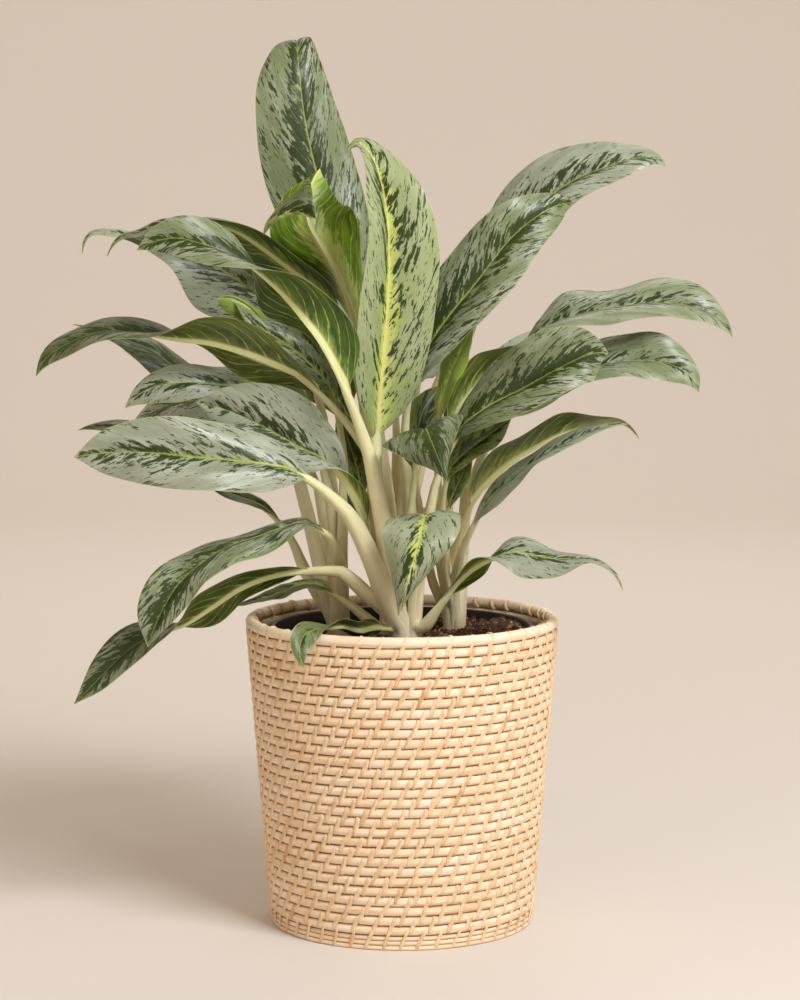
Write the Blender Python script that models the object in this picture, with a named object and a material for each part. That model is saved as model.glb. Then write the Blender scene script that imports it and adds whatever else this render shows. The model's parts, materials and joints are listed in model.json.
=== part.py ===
"""Potted Chinese evergreen: a clump of leafy shoots in a nursery pot, standing in a woven rattan basket.

Frame: +Z up, origin at the centre of the basket's underside, the front of the plant towards -Y. Metres.

Every leaf is a stalk (petiole) and a blade. The leaves were laid out on the front elevation: a point of a
leaf is written in millimetres as (across, up, toward). Across and up are read on a picture plane at right
angles to the line of sight; toward is the depth of the point in front of the plane y = 0. sight() follows
the line of sight to that depth, so a leaf keeps its outline from the front at any depth.
"""

import math
from dataclasses import dataclass

import bmesh
import bpy
import numpy as np
from mathutils import Vector

MM = 0.001
FIT_GAP = 0.3 * MM

# Basket: rows of rattan cane round a tapered drum, a thicker cane on the rim and a flat band at the foot.
BASKET_TOP_RADIUS = 156 * MM
BASKET_FOOT_RADIUS = 131.5 * MM
BASKET_HEIGHT = 307 * MM
CANE_DIAMETER = 10 * MM
RIM_CANE_DIAMETER = 11 * MM
RIM_CANE_SIDES = 8
CANE_ROWS = 28
CANE_GROOVE = 2.6 * MM
FOOT_BAND_HEIGHT = 14 * MM
FOOT_BAND_THICKNESS = 4 * MM
BASKET_FLOOR = 8 * MM
ROUND_STEPS = 32

# Nursery pot: thin black plastic, 265 mm across its lip.
POT_LIP_RADIUS = 132.5 * MM
POT_TOP_RADIUS = 128.5 * MM
POT_FOOT_RADIUS = 98 * MM
POT_LIP_Z = 297 * MM
POT_LIP_HEIGHT = 9 * MM
POT_WALL = 1.8 * MM
DRAIN_HOLES = 5
DRAIN_RADIUS = 7 * MM
DRAIN_CIRCLE_RADIUS = 62 * MM

# Soil: fills the pot, lower on the left than on the right.
SOIL_Z = 283 * MM
SOIL_SLOPE = 0.035
SOIL_RINGS = 4
MOUND = 2.2 * MM

# Crowns: the short canes that the stalks grow from.
CROWN_RADIUS = 19 * MM
CROWN_TOP_RADIUS = 13 * MM
CROWN_DEPTH = 30 * MM
CROWN_RISE = 13 * MM
CROWN_SIDES = 12
CONE_RADIUS = 18 * MM
CONE_SINK = 2 * MM

# Stalks: they start inside their crown, on a ring round its axis, and rise before they spread.
STALK_RING = 7 * MM
STALK_REACH = 17 * MM
STALK_SINK = 4 * MM
STALK_RISE = 21 * MM
STALK_FLARE = 2 * MM
STALK_LEAD_IN = 10 * MM
STALK_TAPER = 1.3
STALK_SIDES = 6
STALK_STEPS = 6

# Blades
BLADE_THICKNESS = 0.9 * MM
RIB_FOOT_DEPTH = 3.4 * MM
RIB_FADE = 1.5
BLADE_BOW = 0.09
MARGIN_RIPPLE = 1.5 * MM
RIPPLES = 2.1
TIP_HALF = 0.5 * MM
SPINE_SAMPLES = 60
WIDTH_SHARES = (0.1, 0.25, 0.42, 0.6, 0.77, 0.9)
BLADE_STATIONS = (0.0, 0.04, *WIDTH_SHARES, 1.0)
BLADE_COLUMNS = (-1.0, -0.5, 0.0, 0.5, 1.0)

# The line of sight of the front elevation
EYE = Vector((-2 * MM, -2600 * MM, 682 * MM))
PITCH_DOWN = math.radians(5.71)
SIGHT_FORWARD = Vector((0, math.cos(PITCH_DOWN), -math.sin(PITCH_DOWN)))
SIGHT_UP = Vector((0, math.sin(PITCH_DOWN), math.cos(PITCH_DOWN)))
PICTURE_DISTANCE = 2630 * MM

# Where each shoot's crown stands on the soil, in millimetres: (x, y)
SHOOTS = {
    "front": (4, -26),
    "left": (-60, 18),
    "right": (54, 48),
    "back": (-8, 78),
}

CANE_COLOUR = (0.80, 0.62, 0.40)
PLASTIC_BLACK = (0.02, 0.02, 0.02)
SOIL_BROWN = (0.07, 0.045, 0.03)
STALK_CREAM = (0.72, 0.68, 0.46)
LEAF_GREEN = (0.24, 0.36, 0.22)
LIME_GREEN = (0.36, 0.50, 0.10)


@dataclass(frozen=True)
class Leaf:
    """One leaf, in millimetres.

    spine runs from the blade's foot to its tip. left and right say how far each margin is seen from the
    spine on the picture plane at WIDTH_SHARES of its length: a number is positive to the left, or to the
    right, of the way the spine runs, so it is negative where the underside is seen. A margin is the blade's
    half width away from the midrib, so its depth follows from how far aside it is seen, and lean says for
    each margin whether it is nearer the front than the midrib (1) or farther (-1). side is a fixed direction
    to the left for a blade that points at the front or away from it. Without left and right the margins
    follow from the width alone. via are points of the stalk between its crown and the blade, and stalk holds
    its radius at the crown and at the blade.
    """

    name: str
    shoot: str
    width: float
    spine: tuple
    left: tuple = None
    right: tuple = None
    lean: tuple = (-1, 1)
    side: tuple = None
    via: tuple = ()
    stalk: tuple = (7, 4)


LEAVES = (
    Leaf("top", "back", 92,
         ((-44, 195, -75), (-76, 300, -88), (-94, 375, -88), (-101, 432, -95), (-103, 460, -118),
          (-101, 446, -146)),
         (22, 44, 52, 50, 42, 20), (20, 38, 40, 35, 24, 13), (-1, -1), (-.98, -.2),
         via=((-12, -40, -72), (-22, 60, -72), (-34, 140, -74)), stalk=(9, 6)),
    Leaf("young_crown", "back", 90,
         ((-46, 185, -8), (-53, 202, -10), (-62, 225, -14), (-78, 252, -18), (-91, 275, -24),
          (-94, 297, -34), (-88, 317, -46), (-80, 331, -60)),
         (-14, -26, -42, -46, -38, -18), (-8, -16, -34, -40, -22, -5), (-1, -1),
         via=((-10, -20, -50), (-26, 90, -24)), stalk=(8, 5.5)),
    Leaf("front_upright", "front", 98,
         ((-25, 62, 30), (-16, 150, 42), (-11, 230, 46), (-14, 295, 40), (-28, 344, 26), (-42, 357, 14),
          (-53, 348, 8)),
         (18, 28, 28, 20, 17, 8), (27, 43, 49, 49, 36, 13), (1, -1),
         via=((-6, -100, 26), (-20, -50, 26), (-24, 0, 28)), stalk=(12, 8)),
    Leaf("right_tall", "front", 84,
         ((2, 108, 0), (40, 172, 4), (75, 216, 8), (115, 266, 4), (155, 294, -12), (174, 296, -30)),
         (16, 30, 38, 36, 30, 15), (12, 23, 30, 33, 27, 17), (-1, 1),
         via=((10, -80, 2), (8, 0, -12), (3, 60, -9)), stalk=(8, 5)),
    Leaf("right_far_high", "back", 92,
         ((62, 182, -95), (108, 255, -100), (155, 308, -98), (205, 333, -95), (250, 343, -95),
          (266, 334, -96)),
         (14, 28, 36, 37, 27, 11), (12, 20, 24, 20, 18, 12), (-1, 1),
         via=((0, -20, -80), (24, 80, -88))),
    Leaf("right_upper", "right", 84,
         ((118, 158, -40), (165, 181, -42), (220, 194, -38), (275, 197, -32), (312, 186, -26),
          (333, 163, -22)),
         (8, 24, 17, 24, 22, 9), (5, 9, 16, 15, 13, 8), (-1, 1),
         via=((60, -40, -56), (84, 50, -66), (104, 120, -60))),
    Leaf("right_middle", "right", 84,
         ((95, 84, -15), (150, 117, -18), (210, 137, -16), (256, 139, -12), (286, 128, -8), (299, 108, -6)),
         (12, 22, 24, 25, 28, 13), (12, 17, 15, 14, 19, 14), (-1, 1),
         via=((56, -60, -45), (74, 20, -32))),
    Leaf("right_front", "front", 86,
         ((52, 66, 34), (85, 92, 50), (125, 113, 66), (165, 135, 76), (190, 146, 80), (208, 147, 78)),
         (12, 24, 36, 42, 40, 27), (12, 20, 22, 23, 25, 24), (-1, 1),
         via=((20, -70, 22), (32, 0, 26))),
    Leaf("right_olive", "right", 76,
         ((50, 78, -10), (76, 112, -14), (104, 136, -20), (136, 152, -30), (160, 166, -42)),
         (-10, -16, -22, -20, -14, -7), (-14, -24, -24, -14, -9, -4), (-1, 1),
         via=((46, -60, -34), (48, 10, -26))),
    Leaf("right_young", "right", 44,
         ((39, 88, 8), (49, 122, 8), (61, 150, 5), (73, 170, 0)),
         (6, 9, 11, 11, 9, 5), (5, 8, 10, 11, 9, 5), (-1, 1),
         via=((40, -60, -26), (38, 10, -14)), stalk=(5, 3.5)),
    Leaf("right_inner_dark", "right", 60,
         ((14, 40, -44), (18, 70, -50), (26, 95, -60), (44, 115, -74)),
         (12, 16, 17, 14, 10, 5), (10, 14, 16, 14, 9, 5), (.5, -.5),
         via=((32, -80, -42), (20, -10, -46)), stalk=(5, 3.5)),
    Leaf("right_low_shade", "right", 62,
         ((46, 28, 20), (66, 48, 24), (90, 66, 22), (112, 83, 12)),
         (12, 20, 24, 20, 14, 7), (8, 10, 12, 14, 11, 5), (-.3, .3),
         via=((40, -60, -18), (42, -10, 4)), stalk=(5, 3.5)),
    Leaf("right_small_shade", "right", 40,
         ((50, 0, 8), (60, 20, 8), (71, 44, 2)),
         (6, 9, 10, 9, 7, 4), (6, 8, 9, 8, 6, 3), (-.4, .4),
         via=((46, -70, -15), (47, -30, 0)), stalk=(5, 3)),
    Leaf("front_small", "front", 90,
         ((15, 36, 10), (19, 60, 42), (25, 72, 76), (31, 60, 108), (39, 40, 130), (47, 19, 142)),
         (14, 30, 40, 34, 20, 7), (14, 32, 45, 44, 28, 10), (-1, -1), (.93, .35),
         via=((7, -70, 18), (11, -10, 10)), stalk=(6, 4)),
    Leaf("front_drooping", "front", 78,
         ((30, -40, 40), (26, -15, 84), (20, -36, 122), (12, -66, 138), (4, -94, 142), (-2, -116, 140)),
         (12, 30, 38, 37, 19, 6), (12, 30, 40, 32, 18, 7), (-1, -1), (1, .1),
         via=((14, -100, 32), (24, -66, 34)), stalk=(6, 4)),
    Leaf("right_olive_low", "right", 58,
         ((66, -6, -6), (84, 14, -4), (110, 38, -2), (140, 56, 0), (167, 68, 2), (200, 76, 3), (222, 77, 2),
          (239, 62, 2)),
         (4, 8, 8, 8, 4, 2), (-11, -18, -17, -20, -8, -3), (-1, 1),
         via=((50, -80, -40), (58, -36, -22)), stalk=(6, 3.5)),
    Leaf("right_green_low", "right", 55,
         ((72, -22, 22), (96, 8, 28), (130, 36, 32), (172, 60, 30), (208, 74, 26), (230, 76, 22)),
         (5, 8, 9, 9, 6, 3), (9, 10, 5, 6, 3, 2), (-1, 1),
         via=((54, -90, -30), (62, -50, 5))),
    Leaf("right_lowest", "front", 52,
         ((42, -100, 46), (76, -66, 58), (112, -52, 66), (152, -58, 72), (192, -60, 76), (212, -71, 78),
          (223, -90, 79)),
         (-10, -10, 15, 8, 4, 2), (-3, -7, 23, 20, 5, 2), (-1, 1),
         via=((24, -126, 36),), stalk=(8, 5)),
    Leaf("left_big", "front", 80,
         ((-92, 29, 80), (-140, 37, 94), (-200, 43, 104), (-268, 48, 110), (-326, 43, 110)),
         (21, 31, 33, 34, 29, 18), (18, 30, 37, 38, 31, 19), (1, -1),
         via=((-8, -112, 40), (-28, -60, 54), (-48, -20, 62), (-72, 10, 72)), stalk=(12, 6)),
    Leaf("left_second", "front", 92,
         ((-33, -28, 40), (-42, -6, 44), (-54, 16, 48), (-70, 37, 52), (-98, 52, 52), (-132, 71, 48),
          (-168, 88, 42), (-204, 98, 36)),
         (-12, -7, 22, 32, 28, 16), (-9, 6, 34, 46, 38, 20), (.3, -.6),
         via=((-12, -95, 28), (-24, -58, 32)), stalk=(9, 5)),
    Leaf("left_third", "left", 66,
         ((-84, 66, -22), (-108, 104, -14), (-142, 118, 0), (-170, 115, 16), (-212, 118, 30),
          (-250, 112, 36), (-275, 92, 38)),
         (8, 10, 10, 14, 19, 14), (8, 14, 20, 18, 17, 9), (.4, -1),
         via=((-64, -60, -14), (-72, 10, -18))),
    Leaf("left_long", "front", 64,
         ((-76, 112, 30), (-100, 125, 34), (-130, 137, 36), (-160, 148, 37), (-190, 157, 37),
          (-220, 161, 37),
          (-245, 165, 36), (-272, 169, 35), (-300, 169, 34), (-330, 158, 32), (-352, 144, 32),
          (-364, 124, 32)),
         (-10, -28, -24, 4, 11, 11), (-14, -24, -3, 13, 11, 9), (1, -1),
         via=((-6, -105, 8), (-14, -50, -2), (-22, 10, -4), (-36, 54, 8), (-54, 86, 20)), stalk=(7, 4.5)),
    Leaf("left_behind_long", "left", 60,
         ((-130, 100, -40), (-170, 115, -44), (-205, 124, -48), (-228, 136, -50), (-250, 151, -50),
          (-275, 161, -50), (-300, 169, -50), (-327, 176, -50)),
         (14, 18, 18, 20, 8, 2), (8, 10, 8, 12, 6, 2), (1, -1),
         via=((-70, -112, -18), (-84, -50, -18), (-102, 22, -24), (-118, 70, -34)), stalk=(8, 5)),
    Leaf("left_twisted", "front", 84,
         ((-50, 112, 85), (-60, 125, 86), (-80, 160, 86), (-95, 180, 84), (-115, 204, 82), (-138, 226, 82),
          (-160, 242, 84), (-180, 251, 86), (-200, 257, 86), (-220, 262, 86), (-240, 260, 84),
          (-263, 250, 84)),
         (-30, -36, -22, 9, 19, 15), (-4, -10, -27, 8, 25, 17), (1, -1),
         via=((-10, -80, 40), (-18, -20, 50), (-34, 58, 70), (-45, 95, 81)), stalk=(10, 6)),
    Leaf("left_upper_tip", "back", 70,
         ((-55, 182, -38), (-82, 210, -44), (-110, 232, -48), (-138, 253, -50), (-165, 270, -52),
          (-195, 278, -52), (-235, 278, -52), (-260, 267, -50), (-280, 262, -50), (-293, 244, -50)),
         (-12, -12, -12, -4, 4, 2), (-16, -26, -28, -10, 4, 3), (1, -.4),
         via=((-18, -20, -62), (-36, 90, -46))),
    Leaf("left_silver_behind", "left", 90,
         ((-95, 160, -64), (-135, 200, -68), (-178, 230, -70), (-218, 250, -68), (-255, 260, -68),
          (-290, 267, -64), (-310, 265, -62), (-318, 246, -64)),
         (22, 38, 46, 20, 4, 2), (14, 18, 16, 10, 4, 3), (.3, -.4),
         via=((-64, -40, -20), (-74, 60, -50))),
    Leaf("left_young", "left", 32,
         ((-98, 122, -36), (-122, 150, -27), (-146, 180, -17), (-166, 198, -11), (-184, 193, -8)),
         (7, 9, 10, 9, 8, 4), (7, 9, 10, 10, 7, 4), (1, -1),
         via=((-62, -40, -22), (-76, 40, -46), (-90, 96, -48)), stalk=(5, 3.5)),
    Leaf("left_fold", "left", 40,
         ((-62, 100, -6), (-82, 128, 0), (-108, 152, 4), (-142, 175, 4), (-165, 200, -2)),
         (6, 10, 11, 10, 8, 4), (8, 13, 14, 10, 8, 4), (.4, -.4),
         via=((-58, -50, -6), (-56, 40, -14)), stalk=(6, 4)),
    Leaf("left_deep", "back", 78,
         ((-55, 85, -88), (-75, 130, -92), (-100, 170, -98), (-112, 202, -112)),
         (16, 30, 34, 30, 20, 9), (16, 30, 34, 30, 20, 9), (.3, -.3),
         via=((-14, -60, -84), (-34, 30, -84)), stalk=(6, 4)),
    Leaf("left_inner_dark", "back", 36,
         ((-38, 8, -54), (-44, 36, -56), (-53, 66, -60), (-60, 100, -66)),
         (8, 13, 14, 12, 9, 4), (8, 13, 14, 12, 9, 4), (1, -1),
         via=((-18, -70, -72), (-30, -30, -60)), stalk=(5, 3)),
    Leaf("left_low_drooping", "left", 74,
         ((-70, -28, 62), (-98, -22, 70), (-140, -35, 80), (-180, -50, 90), (-220, -82, 98),
          (-240, -115, 100), (-252, -147, 100)),
         (6, 19, 18, 19, 20, 11), (3, 7, 5, 18, 28, 20), (1, -1),
         via=((-58, -108, -4), (-59, -74, 10), (-65, -42, 40)), stalk=(8, 5)),
    Leaf("left_lowest", "front", 66,
         ((-88, -68, 40), (-130, -76, 45), (-160, -88, 49), (-187, -106, 52), (-216, -124, 54),
          (-250, -136, 56), (-272, -150, 57), (-290, -167, 58), (-308, -186, 59), (-326, -204, 60)),
         (-6, -14, -16, 8, 14, 10), (-8, -13, -16, 14, 20, 12), (1, -1),
         via=((-12, -112, 34), (-35, -92, 44), (-58, -72, 46), (-78, -64, 42)), stalk=(9, 6)),
    Leaf("left_low_thin", "front", 40,
         ((-68, -90, 26), (-84, -84, 22), (-102, -85, 16), (-120, -92, 10), (-145, -100, 4),
          (-166, -106, 0)),
         (4, 6, 6, 5, 4, 2), (4, 5, 6, 5, 4, 2), (1, -1),
         via=((-16, -130, 32), (-36, -116, 30), (-54, -101, 29)), stalk=(7, 4)),
    Leaf("rim_hanging", "front", 34,
         ((-13, -128, 44), (-26, -128, 60), (-40, -130, 76), (-55, -126, 92), (-70, -127, 112),
          (-85, -129, 132), (-97, -137, 150), (-100, -150, 160), (-96, -168, 164)),
         (-8, -9, -7, 6, 14, 8), (-7, -8, -5, 5, 13, 8), (1, -1),
         stalk=(5, 3)),
    Leaf("left_behind_low", "left", 66,
         ((-116, -18, -42), (-145, -2, -48), (-172, 8, -52), (-222, 42, -58), (-280, 72, -60),
          (-322, 70, -60)),
         (3, 5, 8, 10, 8, 5), (5, 6, 10, 12, 10, 5), (1, -1),
         via=((-78, -100, -24), (-95, -70, -32), (-106, -42, -39)), stalk=(8, 4.5)),
    Leaf("back_right_high", "back", 78,
         ((20, 130, -130), (36, 175, -180), (52, 204, -235), (64, 222, -290)), side=(-.8, .6)),
    Leaf("back_left_high", "back", 84,
         ((-40, 140, -140), (-90, 190, -195), (-130, 205, -250), (-158, 190, -300)), side=(-.9, -.3)),
    Leaf("back_middle", "back", 88,
         ((-5, 120, -150), (-12, 165, -215), (-10, 165, -280), (-6, 120, -340)), side=(-1, 0)),
    Leaf("back_right_low", "back", 76,
         ((30, 60, -140), (66, 100, -195), (105, 112, -250), (132, 92, -305)), side=(-.95, .3)),
    Leaf("back_left_low", "back", 80,
         ((-45, 30, -140), (-95, 60, -195), (-140, 62, -250), (-172, 36, -300)), side=(-.95, -.2)),
    Leaf("back_lowest", "back", 72,
         ((0, -30, -150), (4, -10, -205), (10, -36, -270), (14, -84, -312)), side=(-1, 0)),
    Leaf("right_behind", "right", 76,
         ((82, 92, -90), (124, 124, -130), (164, 148, -170), (196, 158, -200)), side=(-.6, .8)),
    Leaf("left_behind_high", "left", 84,
         ((-100, 60, -95), (-160, 92, -140), (-220, 98, -175), (-268, 74, -200)), lean=(1, -1)),
)


def sight(across, up, toward):
    """The point seen at (across, up) millimetres on the picture plane, toward in front of y = 0."""
    ray = SIGHT_FORWARD * PICTURE_DISTANCE + Vector((1, 0, 0)) * across * MM + SIGHT_UP * up * MM
    reach = (-EYE.y - toward * MM) / ray.y
    return np.array(EYE + ray * reach)


def clear_scene():
    for obj in list(bpy.data.objects):
        bpy.data.objects.remove(obj)


def material(name, colour, roughness, metallic=0.0):
    """A plain Principled material, made once."""
    made = bpy.data.materials.get(name)
    if made is None:
        made = bpy.data.materials.new(name)
        made.use_nodes = True
        shader = made.node_tree.nodes["Principled BSDF"]
        shader.inputs["Base Color"].default_value = (*colour, 1)
        shader.inputs["Roughness"].default_value = roughness
        shader.inputs["Metallic"].default_value = metallic
    return made


def add_object(name, points, faces, look, smooth_angle=None):
    """A mesh object from points and faces, dressed in one material."""
    mesh = bpy.data.meshes.new(name)
    mesh.from_pydata([tuple(p) for p in points], [], faces)
    mesh.validate()
    if smooth_angle is not None:
        mesh.shade_smooth()
        mesh.set_sharp_from_angle(angle=math.radians(smooth_angle))
    mesh.materials.append(look)
    obj = bpy.data.objects.new(name, mesh)
    bpy.context.scene.collection.objects.link(obj)
    return obj


def turned(name, profile, look, smooth_angle):
    """A body turned about Z from a closed profile of (radius, z), counter-clockwise with radius to the right.

    A profile point at radius 0 becomes one point on the axis.
    """
    points = []
    rings = []
    for radius, z in profile:
        if radius == 0:
            rings.append([len(points)] * ROUND_STEPS)
            points.append((0, 0, z))
            continue
        rings.append(range(len(points), len(points) + ROUND_STEPS))
        for i in range(ROUND_STEPS):
            angle = 2 * math.pi * i / ROUND_STEPS
            points.append((radius * math.cos(angle), radius * math.sin(angle), z))
    faces = []
    for low, high in zip(rings, rings[1:] + rings[:1]):
        for i in range(ROUND_STEPS):
            j = (i + 1) % ROUND_STEPS
            face = tuple(dict.fromkeys((low[i], low[j], high[j], high[i])))
            if len(face) > 2:
                faces.append(face)
    return add_object(name, points, faces, look, smooth_angle)


def prism(name, centre, low, high, radius, top_radius, sides):
    """An upright prism or frustum, without a material."""
    mesh = bpy.data.meshes.new(name)
    shape = bmesh.new()
    bmesh.ops.create_cone(
        shape, cap_ends=True, segments=sides, radius1=radius, radius2=top_radius, depth=high - low,
    )
    bmesh.ops.translate(shape, verts=shape.verts, vec=(*centre, (low + high) / 2))
    shape.to_mesh(mesh)
    shape.free()
    obj = bpy.data.objects.new(name, mesh)
    bpy.context.scene.collection.objects.link(obj)
    return obj


def apply_modifiers(obj):
    """Replaces the object's mesh by the evaluated one."""
    bpy.context.view_layer.update()
    graph = bpy.context.evaluated_depsgraph_get()
    mesh = bpy.data.meshes.new_from_object(obj.evaluated_get(graph))
    obj.modifiers.clear()
    obj.data = mesh


def cut(target, cutter):
    """Takes the cutter away from the target and removes it."""
    modifier = target.modifiers.new("cut", "BOOLEAN")
    modifier.operation = "DIFFERENCE"
    modifier.object = cutter
    apply_modifiers(target)
    bpy.data.objects.remove(cutter)


def join(target, others):
    """One Boolean union of the target with the others, which are then removed."""
    group = bpy.data.collections.new(target.name + "_union")
    for obj in others:
        bpy.context.scene.collection.objects.unlink(obj)
        group.objects.link(obj)
    bpy.context.scene.collection.children.link(group)
    modifier = target.modifiers.new("union", "BOOLEAN")
    modifier.operation = "UNION"
    modifier.operand_type = "COLLECTION"
    modifier.collection = group
    modifier.solver = "EXACT"
    apply_modifiers(target)
    for obj in others:
        bpy.data.objects.remove(obj)
    bpy.data.collections.remove(group)


def basket_radius(z):
    """Outer radius of the basket's canes at height z."""
    return BASKET_FOOT_RADIUS + (BASKET_TOP_RADIUS - BASKET_FOOT_RADIUS) * z / BASKET_HEIGHT


def build_basket():
    """The woven drum with its floor, the rim cane above it and the band round its foot."""
    cane = material("rattan_cane", CANE_COLOUR, 0.55)
    low = FOOT_BAND_HEIGHT + FIT_GAP
    rim_low = BASKET_HEIGHT - RIM_CANE_DIAMETER
    high = rim_low - FIT_GAP
    pitch = (high - low) / CANE_ROWS
    recess = BASKET_FOOT_RADIUS - FOOT_BAND_THICKNESS - FIT_GAP
    profile = [(0, 0), (recess, 0), (recess, low)]
    for row in range(CANE_ROWS):
        groove_z = low + row * pitch
        crest_z = groove_z + pitch / 2
        profile.append((basket_radius(groove_z) - CANE_GROOVE, groove_z))
        profile.append((basket_radius(crest_z), crest_z))
    profile.append((basket_radius(high) - CANE_GROOVE, high))
    profile.append((basket_radius(high) - CANE_DIAMETER, high))
    profile.append((basket_radius(BASKET_FLOOR) - CANE_DIAMETER, BASKET_FLOOR))
    profile.append((0, BASKET_FLOOR))
    turned("basket_drum", profile, cane, 20)

    rim_radius = BASKET_TOP_RADIUS - RIM_CANE_DIAMETER / 2
    rim_z = rim_low + RIM_CANE_DIAMETER / 2
    reach = RIM_CANE_DIAMETER / 2 / math.cos(math.pi / RIM_CANE_SIDES)
    rim = []
    for i in range(RIM_CANE_SIDES):
        angle = 2 * math.pi * (i + 0.5) / RIM_CANE_SIDES
        rim.append((rim_radius + reach * math.cos(angle), rim_z + reach * math.sin(angle)))
    turned("basket_rim_cane", rim, cane, 60)

    inner = BASKET_FOOT_RADIUS - FOOT_BAND_THICKNESS
    turned("basket_foot_band", [
        (inner, 0),
        (BASKET_FOOT_RADIUS, 0),
        (BASKET_FOOT_RADIUS, FOOT_BAND_HEIGHT),
        (inner, FOOT_BAND_HEIGHT),
    ], cane, 30)


def pot_inner_radius(z):
    """Inner radius of the nursery pot at height z."""
    share = (z - BASKET_FLOOR) / (POT_LIP_Z - BASKET_FLOOR)
    return POT_FOOT_RADIUS + (POT_TOP_RADIUS - POT_FOOT_RADIUS) * share - POT_WALL


def build_nursery_pot():
    """A tapered pot with an outward lip and a ring of drain holes in its floor."""
    foot = BASKET_FLOOR + FIT_GAP
    floor = foot + POT_WALL
    lip_low = POT_LIP_Z - POT_LIP_HEIGHT
    pot = turned("nursery_pot", [
        (0, foot),
        (pot_inner_radius(foot) + POT_WALL, foot),
        (pot_inner_radius(lip_low) + POT_WALL, lip_low),
        (POT_LIP_RADIUS, lip_low),
        (POT_LIP_RADIUS, POT_LIP_Z),
        (pot_inner_radius(POT_LIP_Z), POT_LIP_Z),
        (pot_inner_radius(floor), floor),
        (0, floor),
    ], material("pot_plastic", PLASTIC_BLACK, 0.45), 30)
    for i in range(DRAIN_HOLES):
        angle = 2 * math.pi * i / DRAIN_HOLES
        centre = (DRAIN_CIRCLE_RADIUS * math.cos(angle), DRAIN_CIRCLE_RADIUS * math.sin(angle))
        cut(pot, prism("drain_cutter", centre, foot - 2 * MM, floor + 2 * MM, DRAIN_RADIUS, DRAIN_RADIUS, 8))


def soil_height(x, y):
    """Height of the soil's surface: a slope down to the left, with low mounds."""
    return SOIL_Z + SOIL_SLOPE * x + MOUND * math.sin(x / (21 * MM)) * math.cos(y / (17 * MM))


def build_soil():
    """The soil fills the pot, with a plain hole for each crown."""
    bottom = BASKET_FLOOR + POT_WALL + 2 * FIT_GAP
    points = [(0, 0, bottom), (0, 0, soil_height(0, 0))]
    faces = []

    def ring(share, on_top):
        """Adds one ring of points at a share of the pot's inner radius, and gives its first index."""
        first = len(points)
        for i in range(ROUND_STEPS):
            angle = 2 * math.pi * i / ROUND_STEPS
            side_z = soil_height(math.cos(angle) * POT_TOP_RADIUS, 0) - 2 * MOUND if on_top else bottom
            radius = (pot_inner_radius(side_z) - FIT_GAP) * share
            x, y = radius * math.cos(angle), radius * math.sin(angle)
            points.append((x, y, soil_height(x, y) if on_top else bottom))
        return first

    rings = [ring(1, False)] + [ring(k / SOIL_RINGS, True) for k in range(SOIL_RINGS, 0, -1)]
    for i in range(ROUND_STEPS):
        j = (i + 1) % ROUND_STEPS
        faces += [(0, rings[0] + j, rings[0] + i), (1, rings[-1] + i, rings[-1] + j)]
        for low, high in zip(rings, rings[1:]):
            faces += [(low + i, low + j, high + j), (low + i, high + j, high + i)]
    soil = add_object("soil", points, faces, material("soil", SOIL_BROWN, 0.95))
    low = SOIL_Z - CROWN_DEPTH - FIT_GAP
    radius = CROWN_RADIUS + 1.3 * FIT_GAP
    for x, y in SHOOTS.values():
        high = SOIL_Z + CROWN_DEPTH
        cut(soil, prism("hole_cutter", (x * MM, y * MM), low, high, radius, radius, CROWN_SIDES))


def through(controls, steps=24):
    """A dense smooth polyline through the control points."""
    controls = np.array(controls, float)
    gaps = np.sqrt(np.linalg.norm(np.diff(controls, axis=0), axis=1))
    knots = np.concatenate([[0], np.cumsum(gaps)])
    slopes = np.gradient(controls, knots, axis=0, edge_order=2 if len(controls) > 2 else 1)
    dense = [controls[0]]
    for k, step in enumerate(np.diff(knots)):
        for t in np.linspace(0, 1, steps + 1)[1:]:
            dense.append(
                (2 * t**3 - 3 * t**2 + 1) * controls[k] + (t**3 - 2 * t**2 + t) * step * slopes[k]
                + (3 * t**2 - 2 * t**3) * controls[k + 1] + (t**3 - t**2) * step * slopes[k + 1]
            )
    return np.array(dense)


def at_shares(dense, shares):
    """Points of a polyline at shares of its length."""
    lengths = np.concatenate([[0], np.cumsum(np.linalg.norm(np.diff(dense, axis=0), axis=1))])
    return np.stack([np.interp(np.array(shares) * lengths[-1], lengths, dense[:, k]) for k in range(3)], 1)


def unit(vectors):
    """The same directions at length 1."""
    return vectors / np.linalg.norm(vectors, axis=-1, keepdims=True)


def tangents(points):
    """Unit directions along a polyline."""
    return unit(np.gradient(points, axis=0))


def blade_outline(share):
    """Half width as a share of the widest, from a rounded foot to a drawn-out tip."""
    body = share**0.62 * (1 - share)**0.8
    widest = 0.62 / 1.42
    return body / (widest**0.62 * (1 - widest)**0.8)


def smooth_values(values, at):
    """Values given at WIDTH_SHARES, with 0 at both ends, read smoothly at other shares."""
    shares = np.array((0, *WIDTH_SHARES, 1))
    given = np.array((0, *values, 0), float)
    slopes = np.gradient(given, shares)
    k = np.clip(np.searchsorted(shares, at, side="right") - 1, 0, len(shares) - 2)
    step = shares[k + 1] - shares[k]
    t = (at - shares[k]) / step
    return (
        (2 * t**3 - 3 * t**2 + 1) * given[k] + (t**3 - 2 * t**2 + t) * step * slopes[k]
        + (3 * t**2 - 2 * t**3) * given[k + 1] + (t**3 - t**2) * step * slopes[k + 1]
    )


def margin(picture, aside, offsets, lean, half):
    """The points of one margin: offsets aside on the picture plane, at the depth the half width gives."""
    depth = lean * np.sqrt(np.maximum(half**2 - offsets**2, 0))
    seen = np.column_stack([picture[:, :2] + aside * offsets[:, None], picture[:, 2] + depth])
    return np.array([sight(*p) for p in seen])


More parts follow.
